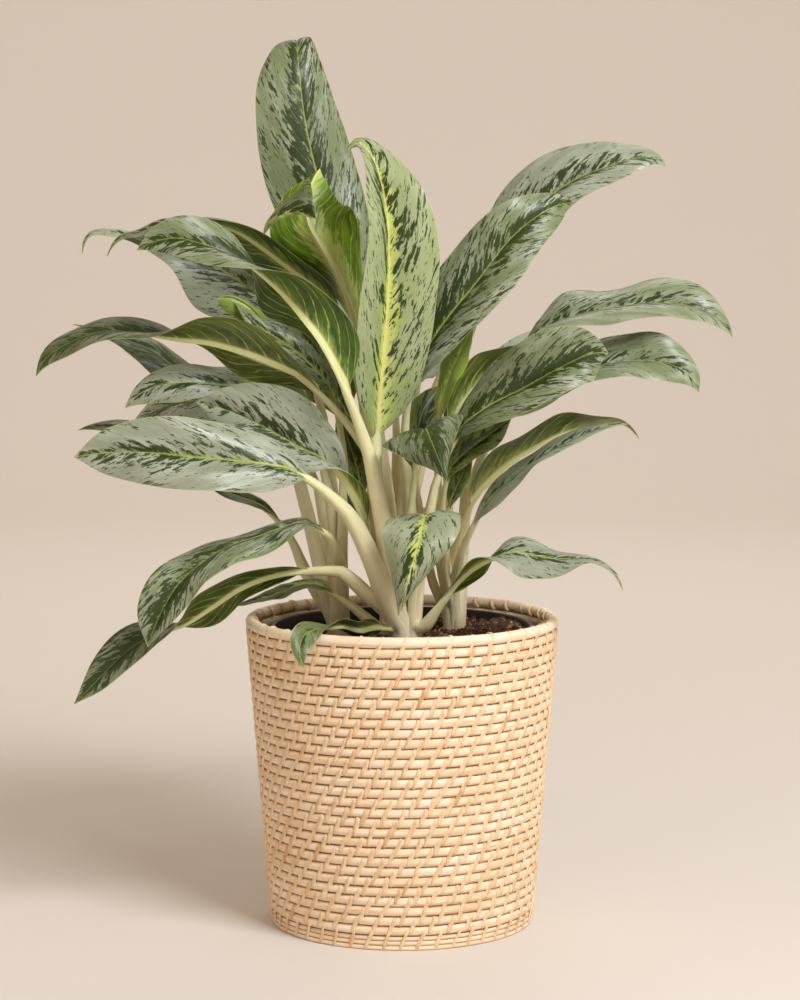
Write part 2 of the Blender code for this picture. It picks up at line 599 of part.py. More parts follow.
def blade_grid(leaf, phase):
    """Rows of points across the blade's upper face, with the directions ahead and up in each row."""
    stations = np.array(BLADE_STATIONS)
    flat = at_shares(through(leaf.spine), np.linspace(0, 1, SPINE_SAMPLES + 1))
    run = tangents(flat[:, :2])
    rows = np.round(stations * SPINE_SAMPLES).astype(int)
    picture = flat[rows]
    aside = np.stack([-run[:, 1], run[:, 0]], 1)[rows]
    if leaf.side is not None:
        aside[:] = leaf.side
    half = leaf.width / 2 * blade_outline(stations)
    shown = 0.5 if leaf.side is None else 1
    to_left = half * shown if leaf.left is None else smooth_values(leaf.left, stations)
    to_right = half * shown if leaf.right is None else smooth_values(leaf.right, stations)
    left = margin(picture, aside, to_left, leaf.lean[0], half)
    right = margin(picture, -aside, to_right, leaf.lean[1], half)
    middle = np.array([sight(*p) for p in picture])
    ahead = tangents(middle)
    across = right - left
    across[0] = across[1]
    across[-1] = across[-2]
    across = unit(across - (across * ahead).sum(1)[:, None] * ahead)
    up = np.cross(across, ahead)
    middle[0] += ahead[0] * FIT_GAP
    for row, reach in ((0, leaf.stalk[1] * 1.15 * MM), (-1, TIP_HALF)):
        left[row] = middle[row] - across[row] * reach
        right[row] = middle[row] + across[row] * reach
    swell = half / half.max()
    grid = np.zeros((len(stations), len(BLADE_COLUMNS), 3))
    for k, u in enumerate(BLADE_COLUMNS):
        share = abs(u)
        edge = left if u < 0 else right
        bow = BLADE_BOW * half * MM * (share - share**2) * 4
        ripple = MARGIN_RIPPLE * share**2 * np.sin(2 * math.pi * (RIPPLES * stations + phase + 0.2 * u)) * swell
        grid[:, k] = middle + (edge - middle) * share + up * (bow + ripple)[:, None]
    return grid, ahead, up


def grid_normals(grid, up):
    """Unit normals of a grid of points, on the side that up gives."""
    normals = unit(np.cross(np.gradient(grid, axis=1), np.gradient(grid, axis=0)))
    return normals * np.sign((normals * up[:, None, :]).sum(2))[:, :, None]


def build_blade(leaf, look, phase):
    """One blade: an upper face, a lower face the blade's thickness below it, and a rib under the middle.

    Gives the foot of its midrib with the directions ahead and up there.
    """
    top, ahead, up = blade_grid(leaf, phase)
    rows, columns = top.shape[:2]
    middle = columns // 2
    under = top - grid_normals(top, up) * BLADE_THICKNESS
    rib = RIB_FOOT_DEPTH * (1 - np.array(BLADE_STATIONS))**RIB_FADE
    under[:, middle] = top[:, middle] - up * (BLADE_THICKNESS + rib)[:, None]
    under[0, :middle] -= up[0] * RIB_FOOT_DEPTH / 2
    under[0, middle + 1:] -= up[0] * RIB_FOOT_DEPTH / 2
    points = np.concatenate([top.reshape(-1, 3), under.reshape(-1, 3)])
    below = rows * columns
    at = np.arange(below).reshape(rows, columns).tolist()
    faces = []
    for r in range(rows - 1):
        for c in range(columns - 1):
            a, b, d, e = at[r][c], at[r][c + 1], at[r + 1][c], at[r + 1][c + 1]
            for p, q, s in ((a, b, e), (a, e, d)) if c < middle else ((a, b, d), (b, e, d)):
                faces += [(p, q, s), (s + below, q + below, p + below)]
    border = at[0] + [row[-1] for row in at[1:]] + at[-1][-2::-1] + [row[0] for row in at[-2:0:-1]]
    for p, q in zip(border, border[1:] + border[:1]):
        faces += [(q, p, p + below), (q, p + below, q + below)]
    add_object(f"blade_{leaf.name}", points, faces, look, 60)
    return top[0, middle], ahead[0], up[0]


def build_stalk(leaf, end, ahead, up):
    """A round tapered stalk from inside its crown to the blade's foot, closed at both ends."""
    x, y = (v * MM for v in SHOOTS[leaf.shoot])
    end = end - ahead * 2 * FIT_GAP - up * RIB_FOOT_DEPTH * 0.5
    inner = end - ahead * STALK_LEAD_IN
    via = [sight(*p) for p in leaf.via]
    outward = unit(((via + [inner])[0] - (x, y, 0)) * (1, 1, 0))
    foot_radius, end_radius = (r * MM for r in leaf.stalk)
    foot = np.array((x, y, SOIL_Z - STALK_SINK)) + outward * min(STALK_RING, STALK_REACH - foot_radius)
    rise = foot + np.array((0, 0, STALK_RISE)) + outward * STALK_FLARE
    dense = through([foot, rise, *via, inner, end])
    route = at_shares(dense, np.linspace(0, 1, STALK_STEPS + 1))
    leads = tangents(route)
    leads[-1] = ahead
    normal = np.array((1.0, 0, 0))
    points = []
    for k, (point, lead) in enumerate(zip(route, leads)):
        normal = unit(normal - lead * (normal @ lead))
        side = np.cross(lead, normal)
        share = (k / STALK_STEPS)**STALK_TAPER
        radius = foot_radius * (1 - share) + end_radius * share
        for i in range(STALK_SIDES):
            angle = 2 * math.pi * i / STALK_SIDES
            points.append(point + (normal * math.cos(angle) + side * math.sin(angle)) * radius)
    faces = [tuple(range(STALK_SIDES - 1, -1, -1))]
    for k in range(STALK_STEPS):
        low, high = k * STALK_SIDES, (k + 1) * STALK_SIDES
        for i in range(STALK_SIDES):
            j = (i + 1) % STALK_SIDES
            faces.append((low + i, low + j, high + j, high + i))
    faces.append(tuple(STALK_STEPS * STALK_SIDES + i for i in range(STALK_SIDES)))
    return add_object(f"stalk_{leaf.name}", points, faces, material("stalk", STALK_CREAM, 0.45), 50)


def build_plant():
    """Each shoot's crown and stalks as one body, and each blade as its own."""
    stalks = {shoot: [] for shoot in SHOOTS}
    for index, leaf in enumerate(LEAVES):
        young = "young" in leaf.name
        look = material("leaf_young" if young else "leaf", LIME_GREEN if young else LEAF_GREEN, 0.4)
        foot = build_blade(leaf, look, 0.37 * index % 1)
        stalks[leaf.shoot].append(build_stalk(leaf, *foot))
    for shoot, (x, y) in SHOOTS.items():
        at = (x * MM, y * MM)
        foot = SOIL_Z - CROWN_DEPTH
        top = SOIL_Z + CROWN_RISE
        crown = prism(f"shoot_{shoot}", at, foot, SOIL_Z, CROWN_RADIUS, CROWN_RADIUS, CROWN_SIDES)
        crown.data.materials.append(material("stalk", STALK_CREAM, 0.45))
        cone = prism("crown_top", at, SOIL_Z - CONE_SINK, top, CONE_RADIUS, CROWN_TOP_RADIUS, CROWN_SIDES)
        join(crown, [cone] + stalks[shoot])


def main():
    clear_scene()
    build_basket()
    build_nursery_pot()
    build_soil()
    build_plant()


main()
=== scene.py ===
"""The looks of a potted Chinese evergreen: variegated blades on pale stalks, in a woven rattan basket.

Frame: metres, +Z up, origin at the centre of the basket's underside, the plant's front towards -Y. Leaves
are laid out as in the solids: a point is (across, up, toward) in millimetres, read on a picture plane at
right angles to the line of sight, and toward is its depth in front of the plane y = 0.
"""

import json
import logging
import math
from collections.abc import Iterable, Sequence
from dataclasses import dataclass
from enum import Enum

import bpy
import numpy as np
from mathutils import Matrix, Vector

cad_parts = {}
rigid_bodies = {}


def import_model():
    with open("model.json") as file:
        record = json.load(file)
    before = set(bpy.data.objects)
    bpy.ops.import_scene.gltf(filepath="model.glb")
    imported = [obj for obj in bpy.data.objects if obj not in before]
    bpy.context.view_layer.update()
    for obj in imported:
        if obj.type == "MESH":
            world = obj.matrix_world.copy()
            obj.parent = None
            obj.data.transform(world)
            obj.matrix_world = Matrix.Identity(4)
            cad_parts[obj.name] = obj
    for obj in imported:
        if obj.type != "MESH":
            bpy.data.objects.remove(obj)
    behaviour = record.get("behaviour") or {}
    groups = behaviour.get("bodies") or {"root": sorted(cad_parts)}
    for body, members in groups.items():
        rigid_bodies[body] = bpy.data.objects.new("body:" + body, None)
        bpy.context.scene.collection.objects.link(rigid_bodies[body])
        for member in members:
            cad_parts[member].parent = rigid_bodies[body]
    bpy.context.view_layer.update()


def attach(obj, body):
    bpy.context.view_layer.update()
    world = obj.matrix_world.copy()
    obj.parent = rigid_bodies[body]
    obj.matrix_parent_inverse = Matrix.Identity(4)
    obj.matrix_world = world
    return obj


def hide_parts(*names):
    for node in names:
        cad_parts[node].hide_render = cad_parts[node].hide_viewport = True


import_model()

log = logging.getLogger("evergreen")

MM = 0.001
SEED = 9861
FULL_TURN = 2 * math.pi

# The line of sight of the photograph, which the leaves are laid out on
EYE = np.array((-2, -2600, 682)) * MM
PITCH_DOWN = math.radians(5.71)
PICTURE_DISTANCE = 2630 * MM
PICTURE_HEIGHT = 1000 * MM
SENSOR = 36.0
SIGHT_FORWARD = np.array((0, math.cos(PITCH_DOWN), -math.sin(PITCH_DOWN)))
SIGHT_UP = np.array((0, math.sin(PITCH_DOWN), math.cos(PITCH_DOWN)))

# The soil's level and each shoot's place on it (mm), as in the solids
SOIL_TOP = 283 * MM
SHOOTS = {"front": (4, -26), "left": (-60, 18), "right": (54, 48), "back": (-8, 78)}

Array = np.ndarray
Material = bpy.types.Material
Object = bpy.types.Object
Socket = bpy.types.NodeSocket
Sockets = bpy.types.bpy_prop_collection
Tree = bpy.types.NodeTree

# Kinds of node that are used more than once, and settings that several nodes share
ATTRIBUTE = "ShaderNodeAttribute"
BUMP = "ShaderNodeBump"
COMBINE = "ShaderNodeCombineXYZ"
COORDINATES = "ShaderNodeTexCoord"
MATH = "ShaderNodeMath"
NOISE = "ShaderNodeTexNoise"
RAMP = "ShaderNodeValToRGB"
RANGE = "ShaderNodeMapRange"
SEPARATE = "ShaderNodeSeparateXYZ"
VECTOR_MATH = "ShaderNodeVectorMath"
CIRCLE = "GeometryNodeCurvePrimitiveCircle"
INSTANCES = "GeometryNodeInstanceOnPoints"
MOVE = "GeometryNodeSetPosition"
PLACE = "GeometryNodeInputPosition"
RANDOM = "FunctionNodeRandomValue"
READ = "GeometryNodeInputNamedAttribute"
REALIZE = "GeometryNodeRealizeInstances"
SET_MATERIAL = "GeometryNodeSetMaterial"
STORE = "GeometryNodeStoreNamedAttribute"
TO_ROTATION = "FunctionNodeEulerToRotation"
SOFT = {"interpolation_type": "SMOOTHSTEP"}
VECTOR = {"data_type": "FLOAT_VECTOR"}
AT_POINT = {**VECTOR, "domain": "POINT"}
VECTOR_EACH = {**VECTOR, "domain": "INSTANCE"}
NUMBER_EACH = {"data_type": "FLOAT", "domain": "INSTANCE"}


# Nodes and meshes


def linear(colour: str) -> tuple[float, float, float, float]:
    """Turns an sRGB hex colour to linear light.

    Args:
        colour: The colour as "#RRGGBB".

    Returns:
        Linear red, green and blue, and an alpha of 1.
    """
    parts = [int(colour[i:i + 2], 16) / 255 for i in (1, 3, 5)]
    return (*(p / 12.92 if p <= 0.04045 else ((p + 0.055) / 1.055)**2.4 for p in parts), 1.0)


def fill(tree: Tree, sockets: Sockets, inputs: dict | Sequence) -> None:
    """Sets or links the inputs of a node.

    Args:
        tree: The tree that the node is in.
        sockets: Its input sockets.
        inputs: Values, "#RRGGBB" colours or sockets, by name or place. None leaves an input as it is.
    """
    for key, value in inputs.items() if isinstance(inputs, dict) else enumerate(inputs):
        if isinstance(value, Socket):
            tree.links.new(value, sockets[key])
        elif value is not None:
            is_colour = isinstance(value, str) and value.startswith("#")
            sockets[key].default_value = linear(value) if is_colour else value


def add(tree: Tree, kind: str, inputs: dict | Sequence = (), out: int | str = 0,
        stops: Sequence[tuple] = (), **settings) -> Socket:
    """Adds a node with its settings and links.

    Args:
        tree: The tree that the node goes into.
        kind: The node's type name.
        inputs: Values or sockets for its inputs, as fill takes them.
        out: The output to give back, by name or place.
        stops: (place, colour) pairs, for a colour ramp.
        settings: Attributes of the node.

    Returns:
        One output socket of the new node.
    """
    made = tree.nodes.new(kind)
    for name, value in settings.items():
        setattr(made, name, value)
    for k, (place, colour) in enumerate(stops):
        elements = made.color_ramp.elements
        stop = elements[k] if k < len(elements) else elements.new(place)
        stop.position = place
        stop.color = linear(colour) if isinstance(colour, str) else (colour, colour, colour, 1)
    fill(tree, made.inputs, inputs)
    return made.outputs[out]


def coats(tree: Tree, ground: Socket | str, *layers: tuple) -> Socket:
    """Lays coats of colour over a ground, one after the other.

    Args:
        tree: The material's tree.
        ground: The colour below.
        layers: For each coat its colour and how much of it shows.

    Returns:
        The colour that is seen.
    """
    factor, lower, upper, seen = 0, 6, 7, 2
    for colour, shown in layers:
        ground = add(tree, "ShaderNodeMix", {factor: shown, lower: ground, upper: colour}, seen,
                     data_type="RGBA")
    return ground


def link(name: str, data: bpy.types.ID) -> Object:
    """Puts a new object with this mesh, light or camera into the scene."""
    made = bpy.data.objects.new(name, data)
    bpy.context.scene.collection.objects.link(made)
    return made


def new_mesh(name: str, points: Array, faces: Sequence, sharp: float = 60) -> Object:
    """Makes a smooth-shaded mesh object.

    Args:
        name: The object's name.
        points: Its points, in metres.
        faces: Its faces, as tuples of point numbers.
        sharp: Edges between faces that meet at more than this angle, in degrees, stay sharp.

    Returns:
        The object, linked to the scene.
    """
    mesh = bpy.data.meshes.new(name)
    mesh.from_pydata(np.asarray(points, float).tolist(), [], faces)
    mesh.validate()
    mesh.shade_smooth()
    mesh.set_sharp_from_angle(angle=math.radians(sharp))
    return link(name, mesh)


def tube_faces(rings: int, sides: int) -> list[tuple]:
    """Joins rings of points, numbered ring by ring, into the faces of a tube."""
    faces = []
    for low in range(0, (rings - 1) * sides, sides):
        high = low + sides
        for i in range(sides):
            j = (i + 1) % sides
            faces.append((low + i, low + j, high + j, high + i))
    return faces


def tube_ends(rings: int, sides: int) -> list[tuple]:
    """The two faces that close a tube of such rings."""
    last = (rings - 1) * sides
    return [tuple(range(sides - 1, -1, -1)), tuple(range(last, last + sides))]


def turned_piece(name: str, profile: Sequence[tuple], steps: int) -> Object:
    """Turns a closed profile about the upright axis.

    Args:
        name: The object's name.
        profile: (radius, z) points, counter-clockwise with radius to the right. Radius 0 is a pole.
        steps: Points round the axis.

    Returns:
        The object.
    """
    points, rings = [], []
    for radius, z in profile:
        if radius == 0:
            rings.append([len(points)] * steps)
            points.append((0, 0, z))
            continue
        rings.append(range(len(points), len(points) + steps))
        turns = (FULL_TURN * i / steps for i in range(steps))
        points += [(radius * math.cos(turn), radius * math.sin(turn), z) for turn in turns]
    faces = []
    for low, high in zip(rings, rings[1:] + rings[:1]):
        for i in range(steps):
            j = (i + 1) % steps
            face = tuple(dict.fromkeys((low[i], low[j], high[j], high[i])))
            if len(face) > 2:
                faces.append(face)
    return new_mesh(name, points, faces, 40)


def store(obj: Object, name: str, values: Array) -> None:
    """Stores three numbers for each point of a mesh, as a named attribute.

    Args:
        obj: The mesh object.
        name: The attribute's name.
        values: An array of one row of three numbers for each point.
    """
    made = obj.data.attributes.new(name, "FLOAT_VECTOR", "POINT")
    made.data.foreach_set("vector", np.asarray(values, np.float32).ravel())


def finish_piece(obj: Object, look: Material | None, nodes: Iterable[str]) -> Object:
    """Dresses a piece and says where it belongs.

    Args:
        obj: The finished mesh object.
        look: Its material, or None where the mesh already has it.
        nodes: The CAD nodes that it replaces.

    Returns:
        The same object.
    """
    if look is not None:
        obj.data.materials.clear()
        obj.data.materials.append(look)
    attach(obj, "root")
    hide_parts(*nodes)
    log.info("%s: %d faces for %s", obj.name, len(obj.data.polygons), ", ".join(nodes))
    return obj


def keep_result(obj: Object) -> Object:
    """Keeps the result of an object's modifiers as its plain mesh.

    Args:
        obj: The mesh object.

    Returns:
        The same object with the new mesh and no modifier.
    """
    bpy.context.view_layer.update()
    made = bpy.data.meshes.new_from_object(obj.evaluated_get(bpy.context.evaluated_depsgraph_get()))
    obj.modifiers.clear()
    obj.data = made
    return obj


def geometry_tree(name: str, sockets: dict[str, str]) -> tuple[Tree, Sockets, Socket]:
    """Starts a Geometry Nodes tree with named inputs.

    Args:
        name: The tree's name.
        sockets: The kind of each input socket, by name, beside the geometry.

    Returns:
        The tree, its inputs by name, and the socket that its result is linked to.
    """
    tree = bpy.data.node_groups.new(name, "GeometryNodeTree")
    tree.interface.new_socket(name="Geometry", in_out="INPUT", socket_type="NodeSocketGeometry")
    tree.interface.new_socket(name="Geometry", in_out="OUTPUT", socket_type="NodeSocketGeometry")
    for label, kind in sockets.items():
        tree.interface.new_socket(name=label, in_out="INPUT", socket_type="NodeSocket" + kind)
    given = tree.nodes.new("NodeGroupInput")
    result = tree.nodes.new("NodeGroupOutput")
    return tree, given.outputs, result.inputs[0]


def grow(obj: Object, tree: Tree, values: dict) -> Object:
    """Runs a Geometry Nodes tree on an object and keeps the result as a plain mesh.

    Args:
        obj: The object that the tree starts from.
        tree: The tree.
        values: Its inputs, by name.

    Returns:
        The same object with the new mesh and no modifier.
    """
    modifier = obj.modifiers.new(tree.name, "NODES")
    modifier.node_group = tree
    for item in tree.interface.items_tree:
        if item.in_out == "INPUT" and item.name in values:
            modifier[item.identifier] = values[item.name]
    return keep_result(obj)


# Lines and surfaces of the leaves, as in the solids


def sight(seen: Array) -> Array:
    """Follows the lines of sight to points of the leaves.

    Args:
        seen: Rows of (across, up, toward) in millimetres.

    Returns:
        Rows of points in metres.
    """
    seen = np.asarray(seen, float) * MM
    ray = SIGHT_FORWARD * PICTURE_DISTANCE + seen[:, :1] * (1, 0, 0) + seen[:, 1:2] * SIGHT_UP
    return EYE + ray * ((-EYE[1] - seen[:, 2]) / ray[:, 1])[:, None]


def smooth_step(t: Array, step: Array, ends: tuple, slopes: tuple) -> Array:
    """Reads a smooth curve between two of its points.

    Args:
        t: Shares of the way, from 0 to 1.
        step: The length of the way.
        ends: The values at both ends.
        slopes: The slopes there.

    Returns:
        The values at those shares.
    """
    return (
        (2 * t**3 - 3 * t**2 + 1) * ends[0] + (t**3 - 2 * t**2 + t) * step * slopes[0]
        + (3 * t**2 - 2 * t**3) * ends[1] + (t**3 - t**2) * step * slopes[1]
    )


def through(controls: Sequence, steps: int = 24) -> Array:
    """Draws a dense smooth polyline.

    Args:
        controls: The points that it passes through.
        steps: Its pieces between two of them.

    Returns:
        The points of the polyline.
    """
    controls = np.array(controls, float)
    gaps = np.sqrt(np.linalg.norm(np.diff(controls, axis=0), axis=1))
    knots = np.concatenate([[0], np.cumsum(gaps)])
    slopes = np.gradient(controls, knots, axis=0, edge_order=2 if len(controls) > 2 else 1)
    t = np.linspace(0, 1, steps + 1)[1:, None]
    spans = [smooth_step(t, step, controls[k:k + 2], slopes[k:k + 2])
             for k, step in enumerate(np.diff(knots))]
    return np.concatenate([controls[:1], *spans])


def lengths_along(points: Array) -> Array:
    """The length of a polyline up to each of its points."""
    return np.concatenate([[0], np.cumsum(np.linalg.norm(np.diff(points, axis=0), axis=1))])


def at_shares(dense: Array, shares: Array) -> Array:
    """Reads points of a polyline.

    Args:
        dense: The polyline.
        shares: Shares of its length.

    Returns:
        The points at those shares.
    """
    lengths = lengths_along(dense)
    return np.stack([np.interp(shares * lengths[-1], lengths, dense[:, k]) for k in range(3)], 1)


def unit(vectors: Array) -> Array:
    """The same directions at length 1."""
    return vectors / np.linalg.norm(vectors, axis=-1, keepdims=True)


def tangents(points: Array) -> Array:
    """Unit directions along a polyline."""
    return unit(np.gradient(points, axis=0))


def blade_outline(share: Array) -> Array:
    """Half width as a share of the widest, from a rounded foot to a drawn-out tip."""
    foot, tip = 0.62, 0.8
    widest = foot / (foot + tip)
    return share**foot * (1 - share)**tip / (widest**foot * (1 - widest)**tip)


WIDTH_SHARES = np.array((0.1, 0.25, 0.42, 0.6, 0.77, 0.9))


def smooth_values(values: Sequence[float], at: Array) -> Array:
    """Reads values given at WIDTH_SHARES, with 0 at both ends, smoothly at other shares.

    Args:
        values: Six values.
        at: The shares to read them at.

    Returns:
        The values there.
    """
    shares = np.concatenate([[0], WIDTH_SHARES, [1]])
    given = np.array((0, *values, 0), float)
    slopes = np.gradient(given, shares)
    k = np.clip(np.searchsorted(shares, at, side="right") - 1, 0, len(shares) - 2)
    step = shares[k + 1] - shares[k]
    return smooth_step((at - shares[k]) / step, step, (given[k], given[k + 1]), (slopes[k], slopes[k + 1]))


# The leaves


class Growth(Enum):
    """How a blade has grown: the silver of its upper face, and how strong its dark flecks and its lime are.

    Silver runs from 0 to 1. Flecks below 0 are fewer than the ordinary, and both strengths may pass 1.
    SHADED is painted shade: little silver and dense dark flecks for blades that lie in shade.
    """

    SILVER = (1.0, 0.45, 0.4)
    BRIGHT = (1.0, 0.5, 0.9)
    FLECKED = (0.8, 0.95, 0.3)
    DEEP = (0.7, 1.5, 0.1)
    LIMED = (0.85, 0.7, 1.5)
    FINE = (0.82, 0.25, 0.12)
    PLAIN = (0.27, -0.1, 0.1)
    DULL = (0.38, 0.9, 0.0)
    OLIVE = (0.3, 0.75, 0.6)
    VEINED = (0.7, 0.8, 0.5)
    # Painted shade: the tone for blades that lie in shade inside the clump.
    SHADED = (0.2, 1.0, 0.2)
    YOUNG = (0.0, -1.5, 1.6)
    SPROUT = (0.0, -1.5, 0.8)


@dataclass(frozen=True)
class Leaf:
    """One leaf, in millimetres, with the values of the solids.

    spine runs from the blade's foot to its tip. left and right are how far each margin is seen from it at
    WIDTH_SHARES, and lean says how much of the margin's depth is towards the front. side is a fixed
    direction to the left. via are points of the stalk, and stalk holds its radius at the crown and at the
    blade.
    """

    name: str
    shoot: str
    width: float
    spine: tuple
    left: tuple | None = None
    right: tuple | None = None
    lean: tuple = (-1, 1)
    side: tuple | None = None
    via: tuple = ()
    stalk: tuple = (7, 4)
    growth: Growth = Growth.SILVER


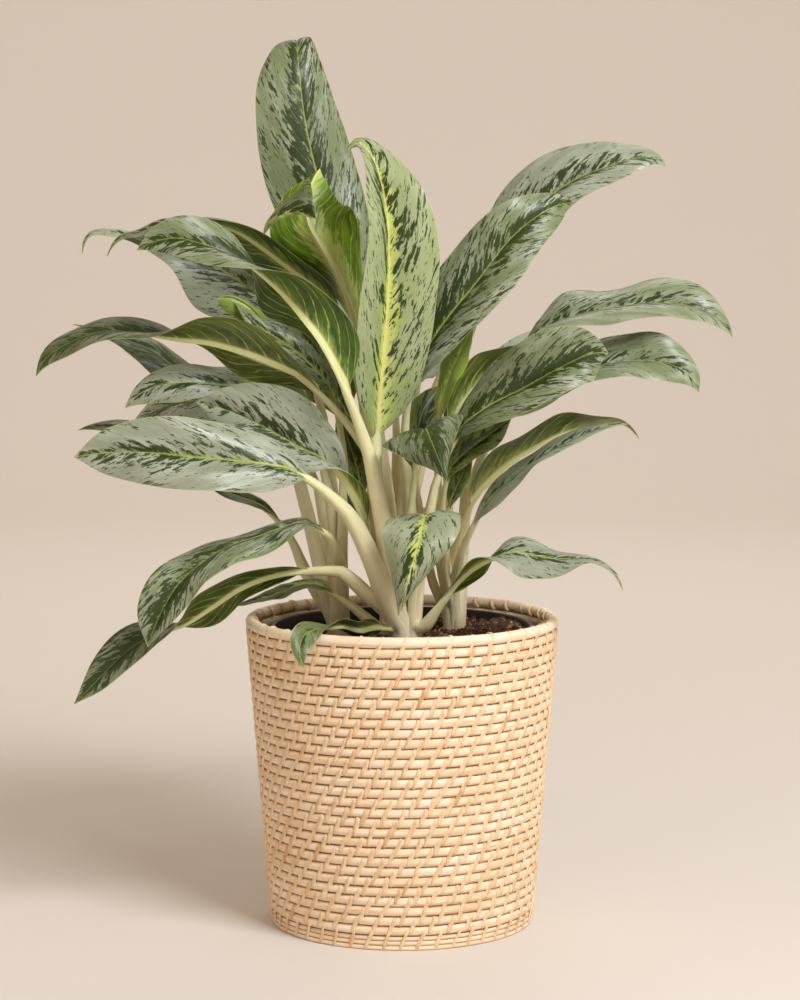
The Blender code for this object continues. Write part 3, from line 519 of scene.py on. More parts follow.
LEAVES = (
    Leaf("top", "back", 92,
         ((-44, 195, -75), (-76, 300, -88), (-94, 375, -88), (-101, 432, -95), (-103, 460, -118),
          (-101, 446, -146)),
         (22, 44, 52, 50, 42, 20), (20, 38, 40, 35, 24, 13), (-1, -1), (-.98, -.2),
         via=((-12, -40, -72), (-22, 60, -72), (-34, 140, -74)), stalk=(9, 6), growth=Growth.FLECKED),
    Leaf("young_crown", "back", 90,
         ((-46, 185, -8), (-53, 202, -10), (-62, 225, -14), (-78, 252, -18), (-91, 275, -24),
          (-94, 297, -34), (-88, 317, -46), (-80, 331, -60)),
         (-14, -26, -42, -46, -38, -18), (-8, -16, -34, -40, -22, -5), (-1, -1),
         via=((-10, -20, -50), (-26, 90, -24)), stalk=(8, 5.5), growth=Growth.YOUNG),
    Leaf("front_upright", "front", 98,
         ((-25, 62, 30), (-16, 150, 42), (-11, 230, 46), (-14, 295, 40), (-28, 344, 26), (-42, 357, 14),
          (-53, 348, 8)),
         (18, 28, 28, 20, 17, 8), (27, 43, 49, 49, 36, 13), (1, -1),
         via=((-6, -100, 26), (-20, -50, 26), (-24, 0, 28)), stalk=(12, 8), growth=Growth.LIMED),
    Leaf("right_tall", "front", 84,
         ((2, 108, 0), (40, 172, 4), (75, 216, 8), (115, 266, 4), (155, 294, -12), (174, 296, -30)),
         (16, 30, 38, 36, 30, 15), (12, 23, 30, 33, 27, 17), (-1, 1),
         via=((10, -80, 2), (8, 0, -12), (3, 60, -9)), stalk=(8, 5), growth=Growth.FLECKED),
    Leaf("right_far_high", "back", 92,
         ((62, 182, -95), (108, 255, -100), (155, 308, -98), (205, 333, -95), (250, 343, -95),
          (266, 334, -96)),
         (14, 28, 36, 37, 27, 11), (12, 20, 24, 20, 18, 12), (-1, 1),
         via=((0, -20, -80), (24, 80, -88))),
    Leaf("right_upper", "right", 84,
         ((118, 158, -40), (165, 181, -42), (220, 194, -38), (275, 197, -32), (312, 186, -26),
          (333, 163, -22)),
         (8, 24, 17, 24, 22, 9), (5, 9, 16, 15, 13, 8), (-1, 1),
         via=((60, -40, -56), (84, 50, -66), (104, 120, -60)),
         growth=Growth.FINE),
    Leaf("right_middle", "right", 84,
         ((95, 84, -15), (150, 117, -18), (210, 137, -16), (256, 139, -12), (286, 128, -8), (299, 108, -6)),
         (12, 22, 24, 25, 28, 13), (12, 17, 15, 14, 19, 14), (-1, 1),
         via=((56, -60, -45), (74, 20, -32)),
         growth=Growth.FINE),
    Leaf("right_front", "front", 86,
         ((52, 66, 34), (85, 92, 50), (125, 113, 66), (165, 135, 76), (190, 146, 80), (208, 147, 78)),
         (12, 24, 36, 42, 40, 27), (12, 20, 22, 23, 25, 24), (-1, 1),
         via=((20, -70, 22), (32, 0, 26)),
         growth=Growth.FLECKED),
    Leaf("right_olive", "right", 76,
         ((50, 78, -10), (76, 112, -14), (104, 136, -20), (136, 152, -30), (160, 166, -42)),
         (-10, -16, -22, -20, -14, -7), (-14, -24, -24, -14, -9, -4), (-1, 1),
         via=((46, -60, -34), (48, 10, -26)), growth=Growth.OLIVE),
    Leaf("right_young", "right", 44,
         ((39, 88, 8), (49, 122, 8), (61, 150, 5), (73, 170, 0)),
         (6, 9, 11, 11, 9, 5), (5, 8, 10, 11, 9, 5), (-1, 1),
         via=((40, -60, -26), (38, 10, -14)), stalk=(5, 3.5), growth=Growth.SPROUT),
    Leaf("right_inner_dark", "right", 60,
         ((14, 40, -44), (18, 70, -50), (26, 95, -60), (44, 115, -74)),
         (12, 16, 17, 14, 10, 5), (10, 14, 16, 14, 9, 5), (.5, -.5),
         via=((32, -80, -42), (20, -10, -46)), stalk=(5, 3.5), growth=Growth.SHADED),
    Leaf("right_low_shade", "right", 62,
         ((46, 28, 20), (66, 48, 24), (90, 66, 22), (112, 83, 12)),
         (12, 20, 24, 20, 14, 7), (8, 10, 12, 14, 11, 5), (-.3, .3),
         via=((40, -60, -18), (42, -10, 4)), stalk=(5, 3.5), growth=Growth.SHADED),
    Leaf("right_small_shade", "right", 40,
         ((50, 0, 8), (60, 20, 8), (71, 44, 2)),
         (6, 9, 10, 9, 7, 4), (6, 8, 9, 8, 6, 3), (-.4, .4),
         via=((46, -70, -15), (47, -30, 0)), stalk=(5, 3), growth=Growth.SHADED),
    Leaf("front_small", "front", 90,
         ((15, 36, 10), (19, 60, 42), (25, 72, 76), (31, 60, 108), (39, 40, 130), (47, 19, 142)),
         (14, 30, 40, 34, 20, 7), (14, 32, 45, 44, 28, 10), (-1, -1), (.93, .35),
         via=((7, -70, 18), (11, -10, 10)), stalk=(6, 4),
         growth=Growth.DEEP),
    Leaf("front_drooping", "front", 78,
         ((30, -40, 40), (26, -15, 84), (20, -36, 122), (12, -66, 138), (4, -94, 142), (-2, -116, 140)),
         (12, 30, 38, 37, 19, 6), (12, 30, 40, 32, 18, 7), (-1, -1), (1, .1),
         via=((14, -100, 32), (24, -66, 34)), stalk=(6, 4),
         growth=Growth.BRIGHT),
    Leaf("right_olive_low", "right", 58,
         ((66, -6, -6), (84, 14, -4), (110, 38, -2), (140, 56, 0), (167, 68, 2), (200, 76, 3), (222, 77, 2),
          (239, 62, 2)),
         (4, 8, 8, 8, 4, 2), (-11, -18, -17, -20, -8, -3), (-1, 1),
         via=((50, -80, -40), (58, -36, -22)), stalk=(6, 3.5), growth=Growth.OLIVE),
    Leaf("right_green_low", "right", 55,
         ((72, -22, 22), (96, 8, 28), (130, 36, 32), (172, 60, 30), (208, 74, 26), (230, 76, 22)),
         (5, 8, 9, 9, 6, 3), (9, 10, 5, 6, 3, 2), (-1, 1),
         via=((54, -90, -30), (62, -50, 5))),
    Leaf("right_lowest", "front", 52,
         ((42, -100, 46), (76, -66, 58), (112, -52, 66), (152, -58, 72), (192, -60, 76), (212, -71, 78),
          (223, -90, 79)),
         (-10, -10, 15, 8, 4, 2), (-3, -7, 23, 20, 5, 2), (-1, 1),
         via=((24, -126, 36),), stalk=(8, 5)),
    Leaf("left_big", "front", 80,
         ((-92, 29, 80), (-140, 37, 94), (-200, 43, 104), (-268, 48, 110), (-326, 43, 110)),
         (21, 31, 33, 34, 29, 18), (18, 30, 37, 38, 31, 19), (1, -1),
         via=((-8, -112, 40), (-28, -60, 54), (-48, -20, 62), (-72, 10, 72)), stalk=(12, 6),
         growth=Growth.SILVER),
    Leaf("left_second", "front", 92,
         ((-33, -28, 40), (-42, -6, 44), (-54, 16, 48), (-70, 37, 52), (-98, 52, 52), (-132, 71, 48),
          (-168, 88, 42), (-204, 98, 36)),
         (-12, -7, 22, 32, 28, 16), (-9, 6, 34, 46, 38, 20), (.3, -.6),
         via=((-12, -95, 28), (-24, -58, 32)), stalk=(9, 5)),
    Leaf("left_third", "left", 66,
         ((-84, 66, -22), (-108, 104, -14), (-142, 118, 0), (-170, 115, 16), (-212, 118, 30),
          (-250, 112, 36), (-275, 92, 38)),
         (8, 10, 10, 14, 19, 14), (8, 14, 20, 18, 17, 9), (.4, -1),
         via=((-64, -60, -14), (-72, 10, -18))),
    Leaf("left_long", "front", 64,
         ((-76, 112, 30), (-100, 125, 34), (-130, 137, 36), (-160, 148, 37), (-190, 157, 37),
          (-220, 161, 37),
          (-245, 165, 36), (-272, 169, 35), (-300, 169, 34), (-330, 158, 32), (-352, 144, 32),
          (-364, 124, 32)),
         (-10, -28, -24, 4, 11, 11), (-14, -24, -3, 13, 11, 9), (1, -1),
         via=((-6, -105, 8), (-14, -50, -2), (-22, 10, -4), (-36, 54, 8), (-54, 86, 20)), stalk=(7, 4.5),
         growth=Growth.DULL),
    Leaf("left_behind_long", "left", 60,
         ((-130, 100, -40), (-170, 115, -44), (-205, 124, -48), (-228, 136, -50), (-250, 151, -50),
          (-275, 161, -50), (-300, 169, -50), (-327, 176, -50)),
         (14, 18, 18, 20, 8, 2), (8, 10, 8, 12, 6, 2), (1, -1),
         via=((-70, -112, -18), (-84, -50, -18), (-102, 22, -24), (-118, 70, -34)), stalk=(8, 5),
         growth=Growth.DULL),
    Leaf("left_twisted", "front", 84,
         ((-50, 112, 85), (-60, 125, 86), (-80, 160, 86), (-95, 180, 84), (-115, 204, 82), (-138, 226, 82),
          (-160, 242, 84), (-180, 251, 86), (-200, 257, 86), (-220, 262, 86), (-240, 260, 84),
          (-263, 250, 84)),
         (-30, -36, -22, 9, 19, 15), (-4, -10, -27, 8, 25, 17), (1, -1),
         via=((-10, -80, 40), (-18, -20, 50), (-34, 58, 70), (-45, 95, 81)), stalk=(10, 6),
         growth=Growth.FLECKED),
    Leaf("left_upper_tip", "back", 70,
         ((-55, 182, -38), (-82, 210, -44), (-110, 232, -48), (-138, 253, -50), (-165, 270, -52),
          (-195, 278, -52), (-235, 278, -52), (-260, 267, -50), (-280, 262, -50), (-293, 244, -50)),
         (-12, -12, -12, -4, 4, 2), (-16, -26, -28, -10, 4, 3), (1, -.4),
         via=((-18, -20, -62), (-36, 90, -46)), growth=Growth.VEINED),
    Leaf("left_silver_behind", "left", 90,
         ((-95, 160, -64), (-135, 200, -68), (-178, 230, -70), (-218, 250, -68), (-255, 260, -68),
          (-290, 267, -64), (-310, 265, -62), (-318, 246, -64)),
         (22, 38, 46, 20, 4, 2), (14, 18, 16, 10, 4, 3), (.3, -.4),
         via=((-64, -40, -20), (-74, 60, -50)), growth=Growth.SILVER),
    Leaf("left_young", "left", 32,
         ((-98, 122, -36), (-122, 150, -27), (-146, 180, -17), (-166, 198, -11), (-184, 193, -8)),
         (7, 9, 10, 9, 8, 4), (7, 9, 10, 10, 7, 4), (1, -1),
         via=((-62, -40, -22), (-76, 40, -46), (-90, 96, -48)), stalk=(5, 3.5), growth=Growth.SPROUT),
    Leaf("left_fold", "left", 40,
         ((-62, 100, -6), (-82, 128, 0), (-108, 152, 4), (-142, 175, 4), (-165, 200, -2)),
         (6, 10, 11, 10, 8, 4), (8, 13, 14, 10, 8, 4), (.4, -.4),
         via=((-58, -50, -6), (-56, 40, -14)), stalk=(6, 4), growth=Growth.VEINED),
    # left_deep is a dark blade set behind the others where the clump lies in deep shade: painted shade.
    Leaf("left_deep", "back", 78,
         ((-55, 85, -88), (-75, 130, -92), (-100, 170, -98), (-112, 202, -112)),
         (16, 30, 34, 30, 20, 9), (16, 30, 34, 30, 20, 9), (.3, -.3),
         via=((-14, -60, -84), (-34, 30, -84)), stalk=(6, 4), growth=Growth.SHADED),
    Leaf("left_inner_dark", "back", 36,
         ((-38, 8, -54), (-44, 36, -56), (-53, 66, -60), (-60, 100, -66)),
         (8, 13, 14, 12, 9, 4), (8, 13, 14, 12, 9, 4), (1, -1),
         via=((-18, -70, -72), (-30, -30, -60)), stalk=(5, 3), growth=Growth.SHADED),
    Leaf("left_low_drooping", "left", 74,
         ((-70, -28, 62), (-98, -22, 70), (-140, -35, 80), (-180, -50, 90), (-220, -82, 98),
          (-240, -115, 100), (-252, -147, 100)),
         (6, 19, 18, 19, 20, 11), (3, 7, 5, 18, 28, 20), (1, -1),
         via=((-58, -108, -4), (-59, -74, 10), (-65, -42, 40)), stalk=(8, 5),
         growth=Growth.FLECKED),
    Leaf("left_lowest", "front", 66,
         ((-88, -68, 40), (-130, -76, 45), (-160, -88, 49), (-187, -106, 52), (-216, -124, 54),
          (-250, -136, 56), (-272, -150, 57), (-290, -167, 58), (-308, -186, 59), (-326, -204, 60)),
         (-6, -14, -16, 8, 14, 10), (-8, -13, -16, 14, 20, 12), (1, -1),
         via=((-12, -112, 34), (-35, -92, 44), (-58, -72, 46), (-78, -64, 42)), stalk=(9, 6),
         growth=Growth.DEEP),
    Leaf("left_low_thin", "front", 40,
         ((-68, -90, 26), (-84, -84, 22), (-102, -85, 16), (-120, -92, 10), (-145, -100, 4),
          (-166, -106, 0)),
         (4, 6, 6, 5, 4, 2), (4, 5, 6, 5, 4, 2), (1, -1),
         via=((-16, -130, 32), (-36, -116, 30), (-54, -101, 29)), stalk=(7, 4), growth=Growth.OLIVE),
    Leaf("rim_hanging", "front", 34,
         ((-13, -128, 44), (-26, -128, 60), (-40, -130, 76), (-55, -126, 92), (-70, -127, 112),
          (-85, -129, 132), (-97, -137, 150), (-100, -150, 160), (-96, -168, 164)),
         (-8, -9, -7, 6, 14, 8), (-7, -8, -5, 5, 13, 8), (1, -1),
         stalk=(5, 3), growth=Growth.PLAIN),
    Leaf("left_behind_low", "left", 66,
         ((-116, -18, -42), (-145, -2, -48), (-172, 8, -52), (-222, 42, -58), (-280, 72, -60),
          (-322, 70, -60)),
         (3, 5, 8, 10, 8, 5), (5, 6, 10, 12, 10, 5), (1, -1),
         via=((-78, -100, -24), (-95, -70, -32), (-106, -42, -39)), stalk=(8, 4.5), growth=Growth.SHADED),
    Leaf("back_right_high", "back", 78,
         ((20, 130, -130), (36, 175, -180), (52, 204, -235), (64, 222, -290)), side=(-.8, .6)),
    Leaf("back_left_high", "back", 84,
         ((-40, 140, -140), (-90, 190, -195), (-130, 205, -250), (-158, 190, -300)), side=(-.9, -.3)),
    Leaf("back_middle", "back", 88,
         ((-5, 120, -150), (-12, 165, -215), (-10, 165, -280), (-6, 120, -340)), side=(-1, 0)),
    Leaf("back_right_low", "back", 76,
         ((30, 60, -140), (66, 100, -195), (105, 112, -250), (132, 92, -305)), side=(-.95, .3)),
    Leaf("back_left_low", "back", 80,
         ((-45, 30, -140), (-95, 60, -195), (-140, 62, -250), (-172, 36, -300)), side=(-.95, -.2)),
    Leaf("back_lowest", "back", 72,
         ((0, -30, -150), (4, -10, -205), (10, -36, -270), (14, -84, -312)), side=(-1, 0)),
    Leaf("right_behind", "right", 76,
         ((82, 92, -90), (124, 124, -130), (164, 148, -170), (196, 158, -200)), side=(-.6, .8)),
    Leaf("left_behind_high", "left", 84,
         ((-100, 60, -95), (-160, 92, -140), (-220, 98, -175), (-268, 74, -200)), lean=(1, -1)),
)

# Margins of young leaves that are folded over, each with the node that it belongs to
FOLDS = (
    (Leaf("young_crown_fold", "back", 60,
          ((-137, 266, -8), (-126, 279, 2), (-112, 286, 6), (-99, 287, 8), (-91, 284, 10), (-84, 281, 12)),
          (4, 8, 12, 18, 27, 36), (2, 2, 2, 2, 2, 1), (-.5, .2), (0, 1), stalk=(2, 2),
          growth=Growth.OLIVE), "blade_young_crown"),
    (Leaf("left_young_fold", "left", 52,
          ((-120, 146, -20), (-129, 165, -14), (-140, 182, -10), (-153, 195, -7), (-168, 202, -5),
           (-184, 201, -4)),
          (26, 26, 24, 22, 19, 14), (2, 2, 2, 2, 2, 2), (.3, 0), (0, -1), stalk=(2, 2),
          growth=Growth.SPROUT), "blade_left_young"),
)


# Finishes


@dataclass(frozen=True)
class Finish:
    """A finish that builds its material once, around the named Principled shader."""

    name: str = "finish"

    def build(self) -> Material:
        """Builds the material.

        Returns:
            The material, or the one built before.
        """
        made = bpy.data.materials.get(self.name)
        if made is None:
            made = bpy.data.materials.new(self.name)
            made.use_nodes = True
            tree = made.node_tree
            self.paint(tree, tree.nodes["Principled BSDF"].inputs)
        return made

    def paint(self, tree: Tree, shader: Sockets) -> None:
        """Adds the finish's nodes.

        Args:
            tree: The material's tree.
            shader: The input sockets of its Principled shader.
        """


@dataclass(frozen=True)
class VariegatedBlade(Finish):
    """Living aglaonema blade: a waxy, silvered upper face with dark feathered flecks, an olive underside.

    Wax gives a broad soft gloss. The flecks feather forward from the midrib along the lateral veins, from
    blotches about 8 mm across down to specks of 2 mm. On the underside the veins show pale, 19 mm apart.
    The mesh gives growth (along, aside and half width in mm), kind (upper face, seed, share of the length)
    and tone (silver, flecks, lime).
    """

    name: str = "variegated_leaf"
    young: str = "#80983A"
    plain: str = "#606E38"
    dull: str = "#4A4C32"
    mixed: str = "#76815C"
    silver: str = "#8E957F"
    silver_pale: str = "#AAAF9C"
    green: str = "#3A4B1C"
    green_deep: str = "#1F2D08"
    limed: str = "#A4B07C"
    lime: str = "#A2B456"
    lime_pale: str = "#DCE08A"
    midrib: str = "#A3B05E"
    midrib_pale: str = "#DCDD8C"
    under_young: str = "#7CA014"
    under_olive: str = "#747C3A"
    under_green: str = "#4C6A16"
    under_dark: str = "#2A400A"
    glow_young: str = "#CEDA7C"
    glow: str = "#AEB866"
    vein_under: str = "#B4C25E"
    midrib_under: str = "#D2D596"
    margin: str = "#A2AC68"
    vein_spacing: float = 19.0
    roughness: tuple = (0.36 - 0.05, 0.36 + 0.08)

    def paint(self, tree: Tree, shader: Sockets) -> None:
        """Adds the finish's nodes.

        Args:
            tree: The material's tree.
            shader: The input sockets of its Principled shader.
        """
        (along, aside, half), (is_upper, seed, share), (silver, flecks, lime) = (
            add(tree, SEPARATE, [add(tree, ATTRIBUTE, out="Vector", attribute_name=name)]).node.outputs
            for name in ("growth", "kind", "tone")
        )
        away = add(tree, MATH, [aside], operation="ABSOLUTE")
        side = add(tree, MATH, [aside], operation="SIGN")
        outward = add(tree, MATH, [away, half], operation="DIVIDE", use_clamp=True)
        # Lateral veins run forward from the midrib, and more so towards the margin.
        bend = add(tree, MATH, [outward, 0.6, 1.45], operation="MULTIPLY_ADD")
        forward = add(tree, MATH, [away, bend], operation="MULTIPLY")
        lateral = add(tree, MATH, [along, forward], operation="SUBTRACT")
        lot = add(tree, MATH, [seed, 61.0], operation="MULTIPLY")
        lot = add(tree, MATH, [side, 7.3, lot], operation="MULTIPLY_ADD")
        place = add(tree, COMBINE, [lateral, away, lot])

        def streaks(width: float, length: float, detail: float) -> Socket:
            """Noise drawn out along the lateral veins, width and length in mm."""
            scaled = add(tree, VECTOR_MATH, {0: place, 1: (1 / width, 1 / length, 1)}, operation="MULTIPLY")
            return add(tree, NOISE, {"Vector": scaled, "Scale": 1.0, "Detail": detail, "Roughness": 0.68})

        feather = streaks(8, 9, 4)
        specks = streaks(6.2, 4.2, 2)
        clouds = streaks(44, 22, 2)
        swells = streaks(44, 20, 0)
        # The noise that shows dark green, from the midrib out to the margin
        level = add(tree, RAMP, [outward], stops=((0, 0.46), (0.15, 0.47), (0.34, 0.54), (0.52, 0.61),
                                                  (0.8, 0.65), (0.94, 0.6), (1, 0.62)))
        level = add(tree, MATH, [flecks, -0.1, level], operation="MULTIPLY_ADD")
        cloudy = add(tree, RANGE, [clouds, 0.3, 0.7, 0.12, -0.06])
        level = add(tree, MATH, [level, cloudy], operation="ADD")
        level_high = add(tree, MATH, [level, 0.045], operation="ADD")
        flecked = add(tree, RANGE, [feather, level, level_high], **SOFT)
        level = add(tree, MATH, [flecks, -0.06, 0.63], operation="MULTIPLY_ADD")
        level = add(tree, MATH, [cloudy, 0.5, level], operation="MULTIPLY_ADD")
        level_high = add(tree, MATH, [level, 0.035], operation="ADD")
        specked = add(tree, RANGE, [specks, level, level_high], **SOFT)
        dark = add(tree, MATH, [flecked, specked], operation="MAXIMUM")
        green = coats(tree, self.green_deep, (self.green, specks))

        ground = add(tree, RAMP, [silver], stops=(
            (0, self.young), (0.25, self.plain), (0.45, self.dull), (0.8, self.mixed), (1, self.silver)))
        paled = add(tree, RANGE, [clouds, 0.4, 0.7])
        paled = add(tree, MATH, [paled, silver], operation="MULTIPLY")
        limed = add(tree, RANGE, [lime, 0.5, 1.5, 0.0, 0.8])
        limed = add(tree, MATH, [limed, silver], operation="MULTIPLY")

        # Lime flares feather out of the midrib in fine soft streaks, widest at the blade's foot.
        fine = streaks(3.4, 5.5, 2)
        fade = add(tree, RANGE, [share, 0.0, 0.9, 1.0, 0.2])
        flare = add(tree, MATH, [streaks(7, 8, 2), 70.0, -25.0], operation="MULTIPLY_ADD")
        flare = add(tree, MATH, [flare, fade], operation="MULTIPLY")
        flare = add(tree, MATH, [flare, lime], operation="MULTIPLY")
        lit = add(tree, MATH, [flare, away], operation="SUBTRACT")
        lit = add(tree, RANGE, [lit, -3.5, 7.0], **SOFT)
        lit_low = add(tree, MATH, [lit, -0.38, 0.65], operation="MULTIPLY_ADD")
        lit_high = add(tree, MATH, [lit_low, 0.12], operation="ADD")
        streaky = add(tree, RANGE, [fine, lit_low, lit_high], **SOFT)
        strength = add(tree, RANGE, [lime, 0.0, 0.9, 0.2, 0.9])
        streaky = add(tree, MATH, [streaky, strength], operation="MULTIPLY")
        near_rib = add(tree, RANGE, [away, 1.0, 13.0, 0.9, 0.0])
        paler = add(tree, RANGE, [lime, 0.3, 1.5, 0.2, 1.0])
        paler = add(tree, MATH, [near_rib, paler], operation="MULTIPLY")
        flares = coats(tree, self.lime, (self.lime_pale, paler))

        rib_half = add(tree, RANGE, [share, 0.0, 0.8, 2.0, 0.5])
        swell = add(tree, MATH, [lime, 0.75, 0.4], operation="MULTIPLY_ADD")
        rib_half = add(tree, MATH, [rib_half, swell], operation="MULTIPLY")
        rib_in = add(tree, MATH, [rib_half, 0.6, -0.8], operation="MULTIPLY_ADD")
        rib_out = add(tree, MATH, [rib_half, 1.25, 0.6], operation="MULTIPLY_ADD")
        off_rib = add(tree, RANGE, [away, rib_in, rib_out], **SOFT)
        rib_tint = add(tree, RANGE, [lime, 0.4, 1.5])
        rib = coats(tree, self.midrib, (self.midrib_pale, rib_tint))
        upper = coats(tree, ground, (self.silver_pale, paled), (self.limed, limed), (green, dark),
                      (flares, streaky))
        upper = coats(tree, rib, (upper, off_rib))

        # The underside: olive to dark green and mottled, thin pale lateral veins, a pale glow by the midrib
        strayed = add(tree, MATH, [clouds, 26.0, lateral], operation="MULTIPLY_ADD")
        strayed = add(tree, MATH, [fine, 2.0, strayed], operation="MULTIPLY_ADD")
        vein = add(tree, MATH, [strayed, self.vein_spacing / 2], operation="PINGPONG")
        vein_line = add(tree, RANGE, [vein, 0.2, 1.7, 1.0, 0.0], **SOFT)
        paleness = add(tree, RANGE, [feather, 0.36, 0.6, 0.1, 0.9])
        paleness = add(tree, MATH, [vein_line, paleness], operation="MULTIPLY")
        under = add(tree, RAMP, [silver], stops=((0, self.under_young), (0.3, self.under_olive),
                                                 (0.7, self.under_green)))
        deep = add(tree, RANGE, [clouds, 0.34, 0.62])
        shaded = add(tree, MATH, [silver, 0.45, 0.45], operation="MULTIPLY_ADD")
        deep = add(tree, MATH, [deep, shaded], operation="MULTIPLY")
        mottled = add(tree, RANGE, [specks, 0.4, 0.62, 0.0, 0.35])
        deep = add(tree, MATH, [deep, mottled], operation="ADD", use_clamp=True)
        glow = add(tree, MATH, [lime, 1.0, 0.1], operation="MULTIPLY_ADD")
        glow = add(tree, MATH, [glow, fade], operation="MULTIPLY")
        reach = add(tree, MATH, [feather, 70.0, -22.0], operation="MULTIPLY_ADD")
        glow = add(tree, MATH, [glow, reach], operation="MULTIPLY")
        glow = add(tree, MATH, [glow, away], operation="SUBTRACT")
        glow = add(tree, RANGE, [glow, -7.0, 6.0, 0.0, 0.65], **SOFT)
        glow_tint = add(tree, RAMP, [silver], stops=((0, self.glow_young), (0.3, self.glow)))
        under_half = add(tree, RANGE, [share, 0.0, 0.85, 4.6, 0.8])
        under_out = add(tree, MATH, [under_half, 1.3], operation="ADD")
        under_in = add(tree, MATH, [under_half, 1.0], operation="SUBTRACT")
        off_under = add(tree, RANGE, [away, under_in, under_out], **SOFT)
        under = coats(tree, under, (self.under_dark, deep), (self.vein_under, paleness), (glow_tint, glow))
        under = coats(tree, self.midrib_under, (under, off_under))

        to_margin = add(tree, MATH, [half, away], operation="SUBTRACT")
        at_margin = add(tree, RANGE, [to_margin, 0.3, 1.2, 0.5, 0.0], **SOFT)
        sunk = add(tree, MATH, [vein_line, -0.2], operation="MULTIPLY")
        relief = add(tree, MATH, [specks, 0.15, sunk], operation="MULTIPLY_ADD")
        relief = add(tree, MATH, [swells, 6.0, relief], operation="MULTIPLY_ADD")
        fill(tree, shader, {
            "Base Color": coats(tree, under, (upper, is_upper), (self.margin, at_margin)),
            "Normal": add(tree, BUMP, {"Strength": 0.6, "Distance": 0.9 * MM, "Height": relief}),
            "Roughness": add(tree, RANGE, [specks, 0.25, 0.75, *self.roughness]),
            "Specular IOR Level": 0.4,
            "Subsurface Weight": 0.12,
            "Subsurface Radius": (0.5, 1.0, 0.2),
            "Subsurface Scale": 1.5 * MM,
        })


@dataclass(frozen=True)
class Petiole(Finish):
    """Fleshy leaf stalk: smooth, cream and a little translucent, tan at the crown and greener at the blade.

    The mesh gives growth: length in mm, place round the stalk, and share of the length.
    """

    name: str = "petiole"
    crown: str = "#DDC198"
    pale: str = "#EDE3C0"
    cream: str = "#E2DAB2"
    green: str = "#D8D7A4"
    fibre: str = "#9E9A58"
    worn: str = "#B08A5C"
    roughness: float = 0.42

    def paint(self, tree: Tree, shader: Sockets) -> None:
        """Adds the finish's nodes.

        Args:
            tree: The material's tree.
            shader: The input sockets of its Principled shader.
        """
        growth = add(tree, ATTRIBUTE, out="Vector", attribute_name="growth")
        share = add(tree, SEPARATE, [growth], "Z")
        # Fine fibres 1 mm wide run the length of the stalk.
        place = add(tree, VECTOR_MATH, {0: growth, 1: (0.02, 2.2, 3.0)}, operation="MULTIPLY")
        fibre = add(tree, NOISE, {"Vector": place, "Scale": 2.0, "Detail": 3})
        blotch = add(tree, NOISE, {"Vector": place, "Scale": 0.7, "Detail": 2})
        ground = add(tree, RAMP, [share], stops=((0, self.crown), (0.1, self.pale), (0.55, self.cream),
                                                 (1, self.green)))
        deeper = add(tree, RANGE, [fibre, 0.48, 0.75, 0.0, 0.3])
        worn = add(tree, RANGE, [blotch, 0.6, 0.8, 0.0, 0.4])
        fill(tree, shader, {
            "Base Color": coats(tree, ground, (self.fibre, deeper), (self.worn, worn)),
            "Normal": add(tree, BUMP, {"Strength": 0.25, "Distance": 0.6 * MM, "Height": fibre}),
            "Roughness": self.roughness,
            "Subsurface Weight": 0.2,
            "Subsurface Radius": (1.0, 0.8, 0.3),
            "Subsurface Scale": 3 * MM,
        })


# Lashings whose number is past this are stained a deeper ochre
STAINED = 500.0


@dataclass(frozen=True)
class PeeledRattan(Finish):
    """Peeled rattan core, unvarnished: pale and dry, with long fibres, and painted shade that darkens it
    where it lies in a groove.

    The mesh gives grain: length in metres, height of the surface out of its groove from 0 to 1, which sets
    the painted groove shade, and a number for the cane, which gives each its own tint.
    """

    name: str = "peeled_rattan"
    pale: str = "#F9EAD5"
    middle: str = "#EFD5B3"
    ochre: str = "#D8B080"
    # The groove colour is painted shade: the cane darkened where it meets its neighbours, as the shade
    # there would.
    groove: str = "#97693A"
    stained: str = "#C98F45"
    roughness: float = 0.55

    def paint(self, tree: Tree, shader: Sockets) -> None:
        """Adds the finish's nodes.

        Args:
            tree: The material's tree.
            shader: The input sockets of its Principled shader.
        """
        grain = add(tree, ATTRIBUTE, out="Vector", attribute_name="grain")
        _, rise, tint = add(tree, SEPARATE, [grain]).node.outputs
        # Fibres in bundles about 0.5 mm wide and some 30 mm long, and patches that change from cane to cane
        place = add(tree, VECTOR_MATH, {0: grain, 1: (60.0, 14.0, 17.0)}, operation="MULTIPLY")
        fibre = add(tree, NOISE, {"Vector": place, "Scale": 1.0, "Detail": 4, "Roughness": 0.6})
        place = add(tree, VECTOR_MATH, {0: grain, 1: (14.0, 0.6, 9.0)}, operation="MULTIPLY")
        patch = add(tree, NOISE, {"Vector": place, "Scale": 1.0, "Detail": 2})
        tone = add(tree, MATH, [patch, 0.75], operation="MULTIPLY")
        tone = add(tree, MATH, [fibre, 0.4, tone], operation="MULTIPLY_ADD")
        ground = add(tree, RAMP, [tone], stops=((0.36, self.pale), (0.6, self.middle), (0.82, self.ochre)))
        stained = add(tree, MATH, [tint, STAINED], operation="GREATER_THAN")
        stained = add(tree, MATH, [stained, 0.6], operation="MULTIPLY")
        # Painted shade: the surface turns to the groove colour as it sinks into the groove between canes.
        painted_groove_shade = add(tree, RANGE, [rise, 0.1, 0.62, 0.85, 0.0], **SOFT)
        fill(tree, shader, {
            "Base Color": coats(tree, ground, (self.stained, stained), (self.groove, painted_groove_shade)),
            "Normal": add(tree, BUMP, {"Strength": 0.3, "Distance": 0.6 * MM, "Height": fibre}),
            "Roughness": self.roughness,
            "Specular IOR Level": 0.4,
        })


